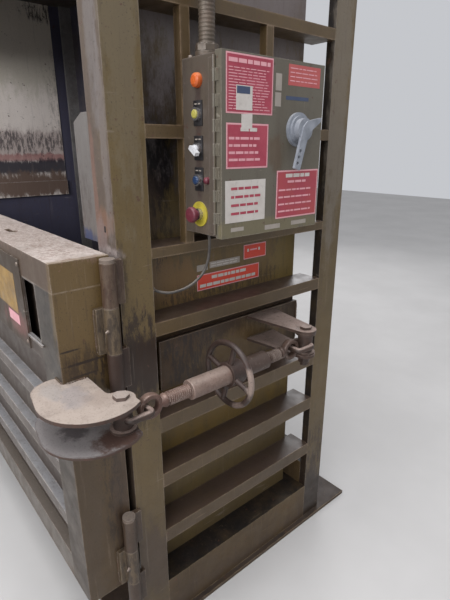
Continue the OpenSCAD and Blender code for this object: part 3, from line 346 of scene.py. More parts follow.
# Each spot or splash is a centre on the machine, its radii, a colour and how strongly it covers
looks = {}
looks["post"] = painted("post_paint", (98, 81, 49), (82, 68, 41), front=(77, 65, 58), front_amount=0.9,
    edge_wear_and_highlight=0.45, darker_low=(0.1, 1.05, 0.5), grit=0.6, spots=[
        ((SIDE, -0.40, 1.01), (0.03, 0.10, 0.11), (38, 22, 14), 0.95),
        ((0.965, FRONT, 1.415), (0.045, 0.02, 0.035), (108, 78, 60), 0.8),
        ((0.925, FRONT, 1.48), (0.014, 0.02, 0.22), (112, 82, 70), 0.6),
        ((0.965, FRONT, 1.338), (0.07, 0.03, 0.02), (146, 134, 130), 0.85),
        ((0.94, FRONT, 1.375), (0.03, 0.02, 0.05), (112, 96, 92), 0.7),
        ((0.99, FRONT, 1.60), (0.02, 0.02, 0.28), (112, 104, 100), 0.5),
        ((0.97, FRONT, 1.90), (0.03, 0.02, 0.30), (104, 98, 96), 0.6),
        ((SIDE, -0.41, 1.90), (0.02, 0.05, 0.5), (106, 96, 78), 0.5),
        ((SIDE, -0.40, 0.30), (0.03, 0.09, 0.16), (66, 52, 42), 0.7)],
    splashes_and_shade=[
        ((SIDE, -0.41, 1.11), (0.03, 0.08, 0.085), (42, 30, 24), 0.9),
        ((SIDE, -0.42, 0.88), (0.03, 0.07, 0.10), (52, 38, 28), 0.55),
        ((SIDE, -0.446, 1.25), (0.03, 0.016, 0.12), (52, 38, 28), 0.6)])
# Rear posts: the nearly black front faces are painted shade
looks["rear_post"] = painted("rear_post_paint", (93, 76, 44), OLIVE_DARK, edge_wear_and_highlight=0.45,
    darker_low=(0.05, 0.8, 0.5), front=(26, 22, 21), front_amount=1.0, grit=0.7, spots=[
        ((SIDE, 0.40, 1.75), (0.02, 0.06, 0.55), (112, 104, 94), 0.6),
        ((SIDE, 0.40, 0.10), (0.05, 0.12, 0.14), (34, 25, 19), 0.9)],
    splashes_and_shade=[((SIDE, 0.40, 0.25), (0.03, 0.09, 0.25), (44, 32, 24), 0.8)])
looks["rib"] = painted("rib_paint", (86, 69, 43), (68, 54, 35), top=(74, 60, 53), top_amount=0.95,
    edge_wear_and_highlight=0.95, bare_and_highlight=(136, 116, 96), darker_low=(0.3, 1.2, 0.35), edge_r=0.008, grit=0.7)
# Sheet: painted shade on the inner faces, and the three dark marks left of the control box, at heights 1.40,
# 1.56 and 1.72, are the box's painted shadow
looks["sheet"] = painted("sheet_paint", (92, 77, 47), (76, 63, 41), edge_wear_and_highlight=0.2, streak=0.5, grit=0.6,
    inside=(70, 70, 90), spots=[
        ((SHEET_X, 0.0, 0.95), (0.3, 1.0, 0.40), (106, 83, 38), 0.6),
        ((SHEET_X, -0.27, 1.56), (0.03, 0.07, 0.15), (14, 9, 12), 1.0),
        ((SHEET_X, -0.22, 1.72), (0.03, 0.12, 0.10), (60, 52, 50), 0.6),
        ((SHEET_X, -0.25, 1.20), (0.03, 0.16, 0.09), (106, 80, 46), 0.85),
        ((SHEET_X, -0.33, 1.45), (0.03, 0.08, 0.12), (66, 50, 40), 0.6),
        ((SHEET_X, 0.10, 2.52), (0.3, 1.4, 0.95), (110, 102, 102), 0.85),
        ((SHEET_X, 0.28, 1.10), (0.03, 0.08, 0.5), (112, 96, 48), 0.4)],
    splashes_and_shade=[
        ((SHEET_X, -0.05, 1.14), (0.03, 0.30, 0.05), (46, 34, 26), 0.7),
        ((SHEET_X, -0.28, 1.40), (0.03, 0.06, 0.12), (34, 26, 24), 0.7)])
# Back sheet: the inner face, looking along -Y, is painted dark for shade
looks["back"] = painted("back_sheet_paint", (92, 77, 47), (76, 63, 41), front=(58, 57, 72),
    front_amount=1.0, edge_wear_and_highlight=0.3, streak=0.5, grit=0.6, splashes_and_shade=[
        ((-0.30, 0.45, 0.50), (0.7, 0.1, 0.35), (50, 38, 28), 0.6),
        ((0.55, 0.45, 1.50), (0.25, 0.1, 0.5), (56, 44, 34), 0.5)])
# Liner: the near-white tone is a painted light, brighter than the liner itself, standing in for the light that
# falls into the chamber
looks["liner"] = painted("liner_paint", (212, 202, 194), (228, 219, 211), edge_wear_and_highlight=0.4, scuff=0.75, streak=0.35,
    dirt=(126, 118, 112), bare_and_highlight=(226, 220, 214), grit=0.35, spots=[
        ((LINER_X, 0.1, 2.15), (0.3, 0.9, 0.28), (186, 180, 162), 0.6),
        ((LINER_X, 0.0, 1.60), (0.3, 1.5, 0.10), (168, 152, 146), 0.7),
        ((LINER_X, 0.05, 1.53), (0.3, 0.8, 0.028), (150, 92, 88), 0.7),
        ((LINER_X, 0.0, 1.475), (0.3, 2.0, 0.048), (46, 43, 52), 0.96),
        ((LINER_X, 0.0, 1.37), (0.3, 3.0, 0.080), (104, 86, 76), 1.0)],
    splashes_and_shade=[
        ((LINER_X, -0.02, 1.61), (0.3, 0.35, 0.07), (54, 48, 52), 0.8),
        ((LINER_X, 0.17, 2.31), (0.3, 0.12, 0.05), (58, 54, 54), 0.9),
        ((LINER_X, 0.25, 1.85), (0.3, 0.10, 0.30), (120, 112, 106), 0.5)],
    top=(150, 142, 132), top_amount=0.9)
# Guides: the dark navy is painted shade inside the guide channels
looks["guide"] = painted("guide_paint", (58, 58, 72), (42, 42, 54), edge_wear_and_highlight=0.5, scuff=0.5,
    bare_and_highlight=(120, 118, 120))
looks["pale"] = painted("guard_paint", (100, 95, 91), (88, 82, 78), edge_wear_and_highlight=0.3, scuff=0.4, spots=[
        # The navy patch low on the guard plate is painted shade
        ((0.82, -0.436, 1.355), (0.07, 0.02, 0.03), (54, 62, 92), 0.9)],
    splashes_and_shade=[((0.80, -0.436, 1.45), (0.08, 0.02, 0.10), (64, 54, 48), 0.5)])
looks["header"] = painted("header_paint", GREY_OLIVE, OLIVE, edge_wear_and_highlight=0.4)
looks["upper"] = painted("upper_paint", (102, 91, 66), OLIVE_DARK, top=(80, 72, 62), top_amount=0.7,
    edge_wear_and_highlight=0.45)
# Base: the near-black tops are painted shade
looks["base"] = painted("base_paint", (84, 66, 38), (62, 48, 32), chip=(86, 54, 38), top=(16, 10, 8),
    top_amount=1.0, edge_wear_and_highlight=0.8, darker_low=(0.0, 0.2, 0.8), gloss=0.55, bare_and_highlight=(140, 120, 92), grit=0.9)
looks["floor"] = painted("chamber_floor_paint", (56, 48, 42), (70, 60, 52), edge_wear_and_highlight=0.5, scuff=0.7, gloss=0.5,
    bare_and_highlight=(110, 100, 92))
looks["stile"] = painted("stile_paint", (80, 62, 34), (66, 50, 29), front=(54, 50, 46), front_amount=0.95,
    edge_wear_and_highlight=0.75, darker_low=(0.28, 1.05, 0.5), bare_and_highlight=(136, 120, 102), grit=0.8, dirt=(62, 46, 30), spots=[
        ((SIDE, -0.600, 0.75), (0.02, 0.05, 0.5), (70, 56, 40), 0.7),
        ((SIDE, -0.50, 0.62), (0.02, 0.03, 0.34), (60, 46, 36), 0.7),
        ((SIDE, -0.56, 1.22), (0.03, 0.12, 0.16), (104, 84, 50), 0.6),
        ((SIDE, -0.600, 1.120), (0.02, 0.03, 0.003), (34, 26, 22), 0.9),
        ((SIDE, -0.570, 1.080), (0.02, 0.05, 0.004), (34, 26, 22), 0.9),
        ((SIDE, -0.575, 1.046), (0.02, 0.04, 0.003), (34, 26, 22), 0.8)],
    splashes_and_shade=[
        ((SIDE, -0.56, 1.06), (0.02, 0.07, 0.07), (42, 31, 25), 0.6),
        ((SIDE, -0.52, 0.70), (0.02, 0.03, 0.40), (44, 32, 24), 0.7)])
looks["rail"] = painted("rail_paint", (80, 62, 34), (66, 50, 29), top=(184, 173, 166), top_amount=1.0,
    edge_wear_and_highlight=0.5, front=(80, 66, 56), front_amount=0.8, bare_and_highlight=(190, 178, 168), chip=(112, 84, 68), streak=0.2,
    grit=0.5, spots=[
        ((0.0, -0.55, 0.385), (5.0, 0.5, 0.09), (88, 80, 72), 0.95),
        ((SIDE, -0.56, 1.26), (0.03, 0.16, 0.16), (104, 84, 50), 0.6)],
    splashes_and_shade=[((0.60, -0.55, 1.343), (0.5, 0.10, 0.02), (120, 96, 84), 0.6)])
# Door skin: the light grey upper faces are painted light from above
looks["skin"] = painted("skin_paint", (72, 62, 54), (58, 48, 42), edge_wear_and_highlight=0.6, top=(138, 138, 138),
    top_amount=0.7, bare_and_highlight=(170, 162, 154), streak=0.3, grit=0.7)
# Door ribs: the light grey tops are painted light from above
looks["door_rib"] = painted("door_rib_paint", (94, 86, 80), (78, 70, 66), top=(138, 138, 140),
    top_amount=0.85, edge_wear_and_highlight=0.95, bare_and_highlight=(180, 170, 162), streak=0.25, scuff=0.6, edge_r=0.008, grit=0.7)
looks["sign"] = painted("sign_paint", (60, 46, 30), (50, 39, 27), edge_wear_and_highlight=0.45, scuff=0.5, grit=0.7, spots=[
        ((0.70, SIGN_FACE, 1.12), (0.10, 0.02, 0.05), (126, 82, 78), 0.5)])
# Horn plates: the pale upper faces are painted light from above, and the dark round patch on the lower plate is
# a painted shadow
looks["horn"] = metal("horn_steel", (66, 50, 42), (54, 41, 34), rust=(76, 50, 40), rust_amount=0.7,
    metallic=0.1, top=(162, 149, 139), top_amount=1.0, roughness=0.5, edge_tint=(66, 48, 38), grime=0.14,
    edge_wear_and_highlight=1.0, spots=[
        ((1.085, -0.63, 1.037), (0.06, 0.04, 0.02), (136, 130, 130), 0.6),
        ((1.03, -0.66, 1.037), (0.05, 0.03, 0.02), (144, 138, 134), 0.6),
        ((1.13, -0.58, 1.037), (0.04, 0.05, 0.02), (140, 126, 116), 0.5),
        ((1.10, -0.60, 0.9555), (0.45, 0.4, 0.006), (122, 118, 118), 0.9),
        ((1.095, -0.645, 0.9555), (0.050, 0.036, 0.007), (66, 60, 61), 0.85),
        ((1.19, -0.57, 0.950), (0.05, 0.07, 0.02), (72, 48, 38), 0.9)])
looks["bolt"] = metal("bolt_steel", (104, 92, 86), (86, 72, 66), rust=(84, 60, 50), rust_amount=0.5,
    metallic=0.15, top=(156, 144, 136), top_amount=1.0, roughness=0.5, edge_tint=(128, 112, 104),
    grime=0.15)
# Rusty steel: the pale tops are painted light from above
looks["rust"] = metal("rusty_steel", (66, 53, 46), (50, 39, 34), rust=(76, 50, 38), rust_amount=0.5,
    metallic=0.15, roughness=0.5, top=(170, 150, 140), top_amount=0.75, edge_tint=(132, 114, 104),
    grime=0.5)
looks["wheel"] = metal("wheel_steel", (58, 45, 40), (46, 36, 32), rust=(66, 44, 36), rust_amount=0.6,
    metallic=0.15, roughness=0.45, top=(84, 70, 65), top_amount=0.4, edge_tint=(118, 102, 94), spots=[
        ((1.255, -0.214, 1.0), (0.03, 0.05, 0.06), (150, 132, 122), 0.75),
        ((1.215, -0.214, 0.90), (0.03, 0.05, 0.03), (122, 106, 98), 0.6)])
looks["sleeve"] = metal("sleeve_steel", (128, 109, 99), (104, 86, 78), rust=(98, 70, 60), rust_amount=0.35,
    metallic=0.2, roughness=0.45, top=(152, 136, 126), top_amount=0.6, grime=0.2, spots=[
        ((JACK_X, -0.10, JACK_Z), (0.08, 0.10, 0.08), (66, 52, 45), 0.92)])
looks["screw"] = metal("screw_steel", (112, 88, 78), (84, 62, 54), rust=(84, 54, 44), rust_amount=0.5,
    metallic=0.25, roughness=0.4, top=(160, 136, 124), top_amount=0.5, spots=[
        # The dark patch along the rear rod is painted shade
        ((JACK_X, -0.02, JACK_Z), (0.08, 0.16, 0.08), (72, 57, 49), 0.85),
        ((JACK_X, -0.50, JACK_Z), (0.06, 0.05, 0.06), (78, 60, 52), 0.6)])
looks["pin"] = metal("pin_steel", (122, 110, 100), (100, 88, 78), rust=(98, 74, 60), rust_amount=0.35,
    metallic=0.3, roughness=0.4, top=(142, 130, 120), top_amount=0.8)
looks["knuckle"] = painted("knuckle_paint", (82, 66, 52), (64, 48, 37), edge_wear_and_highlight=0.9, bare_and_highlight=(134, 120, 108),
    chip=(74, 44, 32), streak=0.6, grit=1.0, dirt=(50, 36, 28), spots=[
        ((1.045, -0.48, 1.03), (0.08, 0.08, 0.10), (50, 35, 29), 0.9),
        ((1.045, -0.48, 0.35), (0.08, 0.08, 0.25), (60, 46, 35), 0.8)],
    splashes_and_shade=[
        ((1.045, -0.48, 1.26), (0.05, 0.05, 0.10), (58, 38, 27), 0.8),
        ((1.045, -0.48, 0.30), (0.05, 0.05, 0.20), (52, 38, 28), 0.8)])
looks["door_knuckle"] = painted("door_knuckle_paint", (88, 74, 56), (70, 56, 41), edge_wear_and_highlight=0.9,
    bare_and_highlight=(140, 127, 112), chip=(50, 36, 30), streak=0.55, grit=0.9, splashes_and_shade=[
        ((1.05, -0.50, 1.12), (0.05, 0.05, 0.16), (38, 29, 25), 0.7),
        ((1.05, -0.50, 0.36), (0.05, 0.05, 0.16), (38, 29, 25), 0.7)])
looks["pad"] = painted("pad_paint", (62, 42, 16), (42, 28, 12), edge_wear_and_highlight=0.7, bare_and_highlight=(102, 84, 66),
    top=(82, 68, 60), top_amount=0.8, gloss=0.5, streak=0.6, grit=1.0, spots=[
        ((PAD_X, 0.02, 0.94), (0.03, 0.24, 0.07), (86, 66, 34), 0.75)],
    splashes_and_shade=[
        ((PAD_X, -0.20, 0.97), (0.03, 0.12, 0.10), (30, 22, 20), 0.8),
        ((PAD_X, 0.15, 1.00), (0.03, 0.14, 0.04), (104, 88, 60), 0.4)])
looks["box"] = painted("box_paint", (96, 87, 72), (82, 73, 59), front=(76, 67, 61), front_amount=0.85,
    edge_wear_and_highlight=0.6, edge_r=0.004, top=(120, 112, 98), top_amount=0.7, grit=0.6, spots=[
        ((DEVICE_X, PANEL_Y, 1.59), (0.014, 0.02, 0.20), (66, 54, 50), 0.8),
        ((DEVICE_X, PANEL_Y, 1.42), (0.05, 0.02, 0.05), (96, 84, 72), 0.6)])
looks["box_door"] = painted("box_door_paint", (95, 90, 79), (87, 81, 69), edge_wear_and_highlight=0.8, edge_r=0.003,
    bare_and_highlight=(166, 158, 146), top=(126, 116, 102), top_amount=0.6, scuff=0.3, grit=0.35, spots=[
        ((BOX_FACE, -0.06, 1.58), (0.02, 0.03, 0.05), (84, 66, 48), 0.6),
        ((BOX_FACE, -0.1, 1.39), (0.02, 0.3, 0.03), (106, 98, 72), 0.7)])
looks["zinc"] = metal("zinc_steel", (142, 140, 138), (112, 108, 106), rust_amount=0.12, metallic=0.5,
    roughness=0.42, grime=0.2)
looks["conduit"] = metal("conduit_steel", (90, 80, 69), (68, 59, 51), rust_amount=0.2, metallic=0.3,
    roughness=0.45, grime=0.3, edge_tint=(124, 114, 106))
looks["chrome"] = metal("chrome_trim", (196, 194, 196), (150, 146, 148), rust_amount=0.05, metallic=0.9,
    roughness=0.22, grime=0.15, edge_tint=(225, 222, 222))
looks["rod"] = metal("rod_chrome", (200, 200, 200), (176, 176, 178), rust_amount=0.02, metallic=0.95,
    roughness=0.15, grime=0.08)
looks["grey_plastic"] = moulded("grey_plastic", (138, 142, 150), (114, 118, 126), 0.4, dust_and_highlight=(190, 190, 190))
looks["yellow"] = moulded("yellow_plastic", (186, 180, 92), (156, 148, 72), 0.35)
looks["yellow_plate"] = moulded("yellow_plate", (178, 164, 58), (146, 130, 48), 0.4)
looks["blue"] = moulded("blue_plastic", (40, 60, 94), (32, 46, 70), 0.3, dust_and_highlight=(130, 138, 150))
looks["red"] = moulded("red_plastic", (106, 44, 56), (86, 34, 44), 0.4, dust_and_highlight=(150, 96, 104),
    dust_and_highlight_amount=0.45)
# The lamp's light orange upper tint is a painted highlight
looks["lamp"] = moulded("lamp_plastic", (190, 92, 44), (160, 72, 34), 0.25, dust_and_highlight=(218, 140, 98),
    dust_and_highlight_amount=0.6)
looks["lever"] = moulded("lever_plastic", (206, 206, 208), (172, 172, 176), 0.3, dust_and_highlight=(220, 220, 220))
looks["black"] = moulded("black_plastic", (26, 25, 27), (38, 36, 38), 0.45, dust_and_highlight=(96, 92, 90),
    dust_and_highlight_amount=0.3)
looks["rubber"] = moulded("black_rubber", (30, 29, 29), (44, 42, 40), 0.6, dust_and_highlight=(96, 90, 84),
    dust_and_highlight_amount=0.4)
looks["cable"] = moulded("cable_jacket", (50, 47, 46), (84, 78, 72), 0.5, dust_and_highlight=(140, 132, 122),
    dust_and_highlight_amount=0.7)
for key, tone, faded, fade, grime in (
        ("label_red", (148, 50, 68), (168, 72, 86), 0.6, 0.25),
        ("label_orange", (168, 76, 76), (174, 88, 84), 0.7, 0.25),
        ("label_danger", (152, 56, 70), (158, 66, 62), 0.8, 0.25),
        ("label_sheet", (196, 58, 38), (200, 72, 50), 0.7, 0.25),
        ("label_white", (190, 184, 178), (172, 164, 157), 0.6, 0.25),
        ("label_pink", (208, 152, 158), (190, 132, 140), 0.5, 0.25),
        ("label_blue", (54, 66, 92), (66, 78, 100), 0.5, 0.25),
        ("label_yellow", (150, 118, 60), (112, 90, 60), 0.9, 0.7),
        ("label_grey", (142, 134, 126), (158, 150, 140), 0.6, 0.25)):
    looks[key] = printed(key, tone, faded, fade, grime)
# Painted shade for the inside of the slot in the post's front face
looks["painted_slot_shade"] = moulded("painted_slot_shade", (18, 16, 16), (26, 23, 22), 0.8, dust_and_highlight=(60, 54, 50),
    dust_and_highlight_amount=0.2)
looks["weld"] = metal("weld_metal", (86, 72, 56), (68, 56, 45), rust_amount=0.35, metallic=0.1,
    roughness=0.5)

CAD_FINISH = {
    "front_posts": "post", "rear_posts": "rear_post", "base_skids": "base", "floor_beams": "base",
    "chamber_floor": "floor", "side_sheets": "sheet", "back_sheet": "back", "wall_liners": "liner",
    "side_ribs": "rib", "back_ribs": "rib", "top_frame": "upper", "header_panel": "header",
    "gate_guides": "guide", "guard_plates": "pale", "platen_guides": "zinc", "door_keeper": "base",
    "control_box": "box", "box_backplate": "zinc", "box_struts": "rib", "button_bezels": "chrome",
    "estop_plate": "yellow_plate", "lamp_orange": "lamp", "pilot_red": "red", "conduit_fitting": "conduit",
    "conduit": "conduit", "sensor_cable": "cable",
    "anchor_pad": "pad", "anchor_bracket": "rust", "anchor_bolt": "rust",
    "anchor_yoke": "rust", "rear_eye_rod": "screw", "frame_knuckles": "knuckle", "hinge_pins": "pin",
    "cylinder_barrel": "upper", "oil_tank": "upper", "motor": "header", "valve_block": "zinc",
    "hoses": "rubber",
    "door_stiles": "stile", "door_rails": "rail", "door_skin": "skin", "door_ribs": "door_rib",
    "sign_panel": "sign", "horn_plates": "horn", "horn_bolt": "bolt", "door_knuckles": "door_knuckle",
    "horn_yoke": "rust", "front_eye_rod": "screw", "jack_sleeve": "sleeve", "hand_wheel": "wheel",
    "feed_gate": "header", "platen": "floor", "piston_rod": "rod", "box_door": "box_door",
    "switch_base": "grey_plastic", "switch_handle": "grey_plastic", "button_yellow": "yellow",
    "button_blue": "blue", "estop_button": "red", "selector_switch": "lever",
}
for node_name, key in CAD_FINISH.items():
    node = nodes[node_name]
    node.data.materials.clear()
    node.data.materials.append(looks[key])


# Mesh building


class Piece:
    """A mesh being built in the machine's own frame, part by part."""

    def __init__(self):
        self.bm = bmesh.new()

    def smooth(self, faces):
        for f in faces:
            f.smooth = True

    def box(self, lo, hi, bevel):
        lo, hi = Vector(lo), Vector(hi)
        verts = bmesh.ops.create_cube(self.bm, size=1.0)["verts"]
        matrix = Matrix.Translation((lo + hi) / 2) @ Matrix.Diagonal((*(hi - lo), 1))
        bmesh.ops.transform(self.bm, verts=verts, matrix=matrix)
        self.smooth({f for v in verts for f in v.link_faces})
        edges = list({e for v in verts for e in v.link_edges})
        out = bmesh.ops.bevel(self.bm, geom=edges, offset=bevel, segments=2, affect="EDGES", profile=0.6)
        self.smooth(out["faces"])

    def revolve(self, centre, axis, profile, seg, spin=0.0, caps=True):
        """The profile holds (radius, distance along the axis) pairs, and a radius of 0 closes to a point."""
        axis = Vector(axis).normalized()
        side = Vector((0, 0, 1)) if abs(axis.z) < 0.9 else Vector((1, 0, 0))
        u = axis.cross(side).normalized()
        v = axis.cross(u)
        centre = Vector(centre)
        rows = []
        for r, h in profile:
            if r <= 1e-7:
                rows.append([self.bm.verts.new(centre + axis * h)])
                continue
            turn = [spin + 2 * math.pi * k / seg for k in range(seg)]
            rows.append([self.bm.verts.new(centre + axis * h + (u * math.cos(a) + v * math.sin(a)) * r)
                for a in turn])
        made = []
        for a, b in zip(rows, rows[1:]):
            for k in range(seg):
                j = (k + 1) % seg
                quad = [a[k % len(a)], a[j % len(a)], b[j % len(b)], b[k % len(b)]]
                unique = list(dict.fromkeys(quad))
                if len(unique) > 2:
                    made.append(self.bm.faces.new(unique))
        if caps:
            for row in (rows[0], rows[-1]):
                if len(row) > 2:
                    made.append(self.bm.faces.new(row))
        self.smooth(made)

    def sweep(self, points, radius, sides, ref=(0, 0, 1), caps=True):
        """A tube along points; radius is a number or a function of the point's number."""
        points = [Vector(p) for p in points]
        rows = []
        for i, p in enumerate(points):
            t = (points[min(i + 1, len(points) - 1)] - points[max(i - 1, 0)]).normalized()
            u = Vector(ref).cross(t).normalized()
            v = t.cross(u)
            r = radius(i) if callable(radius) else radius
            rows.append([self.bm.verts.new(p + (u * math.cos(a) + v * math.sin(a)) * r)
                for a in (2 * math.pi * k / sides for k in range(sides))])
        made = []
        for a, b in zip(rows, rows[1:]):
            for k in range(sides):
                j = (k + 1) % sides
                made.append(self.bm.faces.new((a[k], a[j], b[j], b[k])))
        if caps:
            made.append(self.bm.faces.new(rows[0]))
            made.append(self.bm.faces.new(rows[-1]))
        self.smooth(made)

    def screw(self, centre, axis, r, h):
        """A domed screw head standing on a face."""
        dome = [(r, 0), (r * 0.95, h * 0.4), (r * 0.7, h * 0.85), (r * 0.3, h), (0, h)]
        self.revolve(centre, axis, dome, 16)

    def hexagon(self, centre, axis, r, h):
        """A hexagon bolt head standing on a face, turned at random."""
        self.revolve(centre, axis, [(r, 0), (r, h * 0.8), (r * 0.86, h), (0, h)], 6, spin=random.random())

    def weld(self, a, b, r=0.004):
        """A rippled weld bead between two points."""
        a, b = Vector(a), Vector(b)
        pitch = 0.006
        n = max(3, int((b - a).length / pitch * 3))
        line = (b - a).normalized()
        ref = (0, 0, 1) if abs(line.z) < 0.8 else (1, 0, 0)
        pts, rads = [], []
        for i in range(n + 1):
            t = i / n
            wobble = Vector((random.uniform(-1, 1), random.uniform(-1, 1), random.uniform(-1, 1))) * r * 0.12
            pts.append(a.lerp(b, t) + wobble)
            taper = min(1.0, 6 * min(t, 1 - t) + 0.35)
            rads.append(r * taper * (0.86 + 0.14 * math.cos(i * 2 * math.pi / 3)))
        self.sweep(pts, lambda i: rads[i], 8, ref)

    def done(self, name, mats, body, angle=35, slot=None):
        bmesh.ops.recalc_face_normals(self.bm, faces=self.bm.faces)
        mesh = bpy.data.meshes.new(name)
        self.bm.to_mesh(mesh)
        self.bm.free()
        mesh.set_sharp_from_angle(angle=math.radians(angle))
        obj = bpy.data.objects.new(name, mesh)
        for key in ([mats] if isinstance(mats, str) else mats):
            mesh.materials.append(looks[key])
        bpy.context.scene.collection.objects.link(obj)
        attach(obj, body)
        return obj


def route(points, steps):
    """A smooth line through points, the same one that the CAD sweeps its cords along."""
    p = [Vector(q) for q in points]
    out = []
    for i in range(len(p) - 1):
        a, b, c, d = p[max(i - 1, 0)], p[i], p[i + 1], p[min(i + 2, len(p) - 1)]
        for s in range(steps):
            t = s / steps
            out.append(0.5 * (2 * b + (c - a) * t + (2 * a - 5 * b + 4 * c - d) * t * t
                + (3 * b - a - 3 * c + d) * t ** 3))
    return out + [p[-1]]


def spaced(points, step):
    """The same line with points at an even spacing."""
    out, left = [points[0]], step
    for a, b in zip(points, points[1:]):
        length = (b - a).length
        at = 0.0
        while length - at >= left:
            at += left
            left = step
            out.append(a.lerp(b, at / length))
        left -= length - at
    if (out[-1] - points[-1]).length > step * 0.3:
        out.append(points[-1])
    return out


# Screw jack: forged ring eyes with threaded rods, in place of the plain CAD ones

# From the middle of a ring to the end of its neck, where the thread starts
NECK_END = 0.047


def ring_eye(p, eye_y, way):
    """The ring and the neck that flares from it to the rod."""
    hole, outer, half = 0.020, 0.034, 0.011
    profile = []
    for k in range(25):
        a = 2 * math.pi * k / 24
        c, s = math.cos(a), math.sin(a)
        lump = (abs(c) ** 4 + abs(s) ** 4) ** -0.25
        profile.append(((outer + hole) / 2 + (outer - hole) / 2 * c * lump, half * s * lump))
    p.revolve((JACK_X, eye_y, JACK_Z), (1, 0, 0), profile, 64, caps=False)
    neck = [(0.0100, 0.026), (0.0132, 0.031), (0.0165, 0.036), (0.0188, 0.041), (0.0188, 0.046),
        (0.0175, NECK_END + 0.001)]
    p.revolve((JACK_X, eye_y, JACK_Z), (0, way, 0), neck, 32, caps=False)


def thread(p, start_y, length, way):
    """A screw thread, with a plain core inside it that closes its far end."""
    pitch = 0.00635
    turns = int(length / pitch)
    seg = 24
    root, crest = 0.0162, 0.0189
    levels = [(0.0, root), (0.22, root), (0.42, crest), (0.62, crest), (0.82, root)]
    rows = []
    for k in range(seg):
        a = 2 * math.pi * k / seg
        ring = []
        for t in range(turns):
            for f, r in levels:
                y = start_y + way * pitch * (t + f + (k / seg if way > 0 else 1 - k / seg))
                ring.append(p.bm.verts.new((JACK_X + r * math.cos(a), y, JACK_Z + r * math.sin(a))))
        rows.append(ring)
    made = []
    last = len(rows[0]) - 1
    for k in range(seg):
        nxt = rows[(k + 1) % seg]
        wrap = 0 if k < seg - 1 else way * len(levels)
        for i in range(last):
            j = i + wrap
            if 0 <= j < last:
                made.append(p.bm.faces.new((rows[k][i], rows[k][i + 1], nxt[j + 1], nxt[j])))
    p.smooth(made)
    p.revolve((JACK_X, start_y, JACK_Z), (0, way, 0),
        [(root * 0.99, -0.002), (root * 0.99, length - 0.002), (root * 0.8, length)], seg)


def eye_and_rod(name, node, body, eye_y, end_y, way):
    """A ring eye at eye_y on the jack axis, with its threaded rod running to end_y."""
    p = Piece()
    ring_eye(p, eye_y, way)
    start_y = eye_y + way * NECK_END
    thread(p, start_y, abs(end_y - start_y), way)
    obj = p.done(name, "screw", body, 50, "rusty_steel")
    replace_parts(obj, node)


eye_and_rod("front_screw", "front_eye_rod", "front_rod", eye_y=-0.4726, end_y=-0.306, way=1)
eye_and_rod("rear_screw", "rear_eye_rod", "frame", eye_y=0.040, end_y=-0.185, way=-1)

# Split pins through the feet of the two bolts that hold the links
PIN_LINE = [(-0.022, -0.004), (-0.018, 0), (0.017, 0), (0.020, 0.002), (0.023, 0.001), (0.023, -0.002),
    (0.019, -0.002)]
for name, y, body in (("horn_split_pin", HORN_BOLT_Y, "door"), ("anchor_split_pin", ANCHOR_Y, "frame")):
    p = Piece()
    p.sweep([(JACK_X + dx, y, HORN_Z[0] - 0.0275 + dz) for dx, dz in PIN_LINE], 0.0015, 8, (0, 1, 0))
    p.done(name, "screw", body, 50, "rusty_steel")

# Set screw in the hub of the hand wheel
p = Piece()
p.revolve((JACK_X + 0.0245, -0.192, JACK_Z - 0.0245), (1, 0, -1),
    [(0.0045, 0), (0.0045, 0.0032), (0.0024, 0.0032), (0.0024, 0.001), (0, 0.001)], 16)
p.done("hub_set_screw", "screw", "hand_wheel", 35, "rusty_steel")

# Conduit: spiral-wound flexible tube in place of the smooth CAD sweep
conduit_points = route([(*CONDUIT, 1.830), (*CONDUIT, 1.870), (*CONDUIT, 1.910),
    (1.058, -0.200, 2.150), (1.052, -0.200, 2.500), (1.050, -0.198, 2.850), (1.048, -0.190, 3.060),
    (1.030, -0.170, 3.260), (1.000, -0.130, 3.450), (0.940, -0.070, 3.550), (0.907, MID, 3.570),
    (0.872, MID, 3.570), (0.837, MID, 3.570)], 12)
p = Piece()
p.sweep(spaced(conduit_points, 0.0022), lambda i: 0.0190 + 0.0017 * (1 + math.cos(i * math.pi / 2)) / 2, 20,
    (0.2, 1, 0.35))
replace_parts(p.done("conduit_spiral", "conduit", "frame", 60, "bare_steel"), "conduit")

# Gland nuts: one with eight sides on the conduit fitting, and two hexagons at the ends of the sensor cable
p = Piece()
for place, axis, sides, bore, nut, chamfer, face, height in (
        ((*CONDUIT, 1.8125), (0, 0, 1), 8, 0.0262, 0.0285, 0.001, 0.014, 0.017),
        ((1.065, -0.202, 1.3765), (0, 0, -1), 6, 0.0092, 0.0125, 0.0005, 0.006, 0.008),
        ((1.003, -0.3555, 1.224), (0, 1, 0), 6, 0.0082, 0.0110, 0.0005, 0.005, 0.007)):
    p.revolve(place, axis, [(bore, 0), (nut, chamfer), (nut, face), (bore, height)], sides, caps=False)
p.done("gland_nuts", "conduit", "frame", 35, "bare_steel")

# Two bolts with washers on top of the control box
p = Piece()
for x, y in BOX_TOP_BOLTS:
    p.revolve((x, y, BOX_TOP), (0, 0, 1), [(0.0085, 0), (0.0085, 0.0012), (0.0078, 0.0014)], 20)
    p.hexagon((x, y, BOX_TOP + 0.0012), (0, 0, 1), 0.0062, 0.006)
p.done("box_top_bolts", "pin", "frame", 35, "bare_steel")

# Legend plates behind the buttons
p = Piece()
for z in BUTTON_Z:
    p.box((DEVICE_X - 0.017, PANEL_Y - 0.003, z - 0.027), (DEVICE_X + 0.017, PANEL_Y, z + 0.031), 0.001)
p.done("button_legends", "black", "frame")

# Labels: flat fields with plain bars


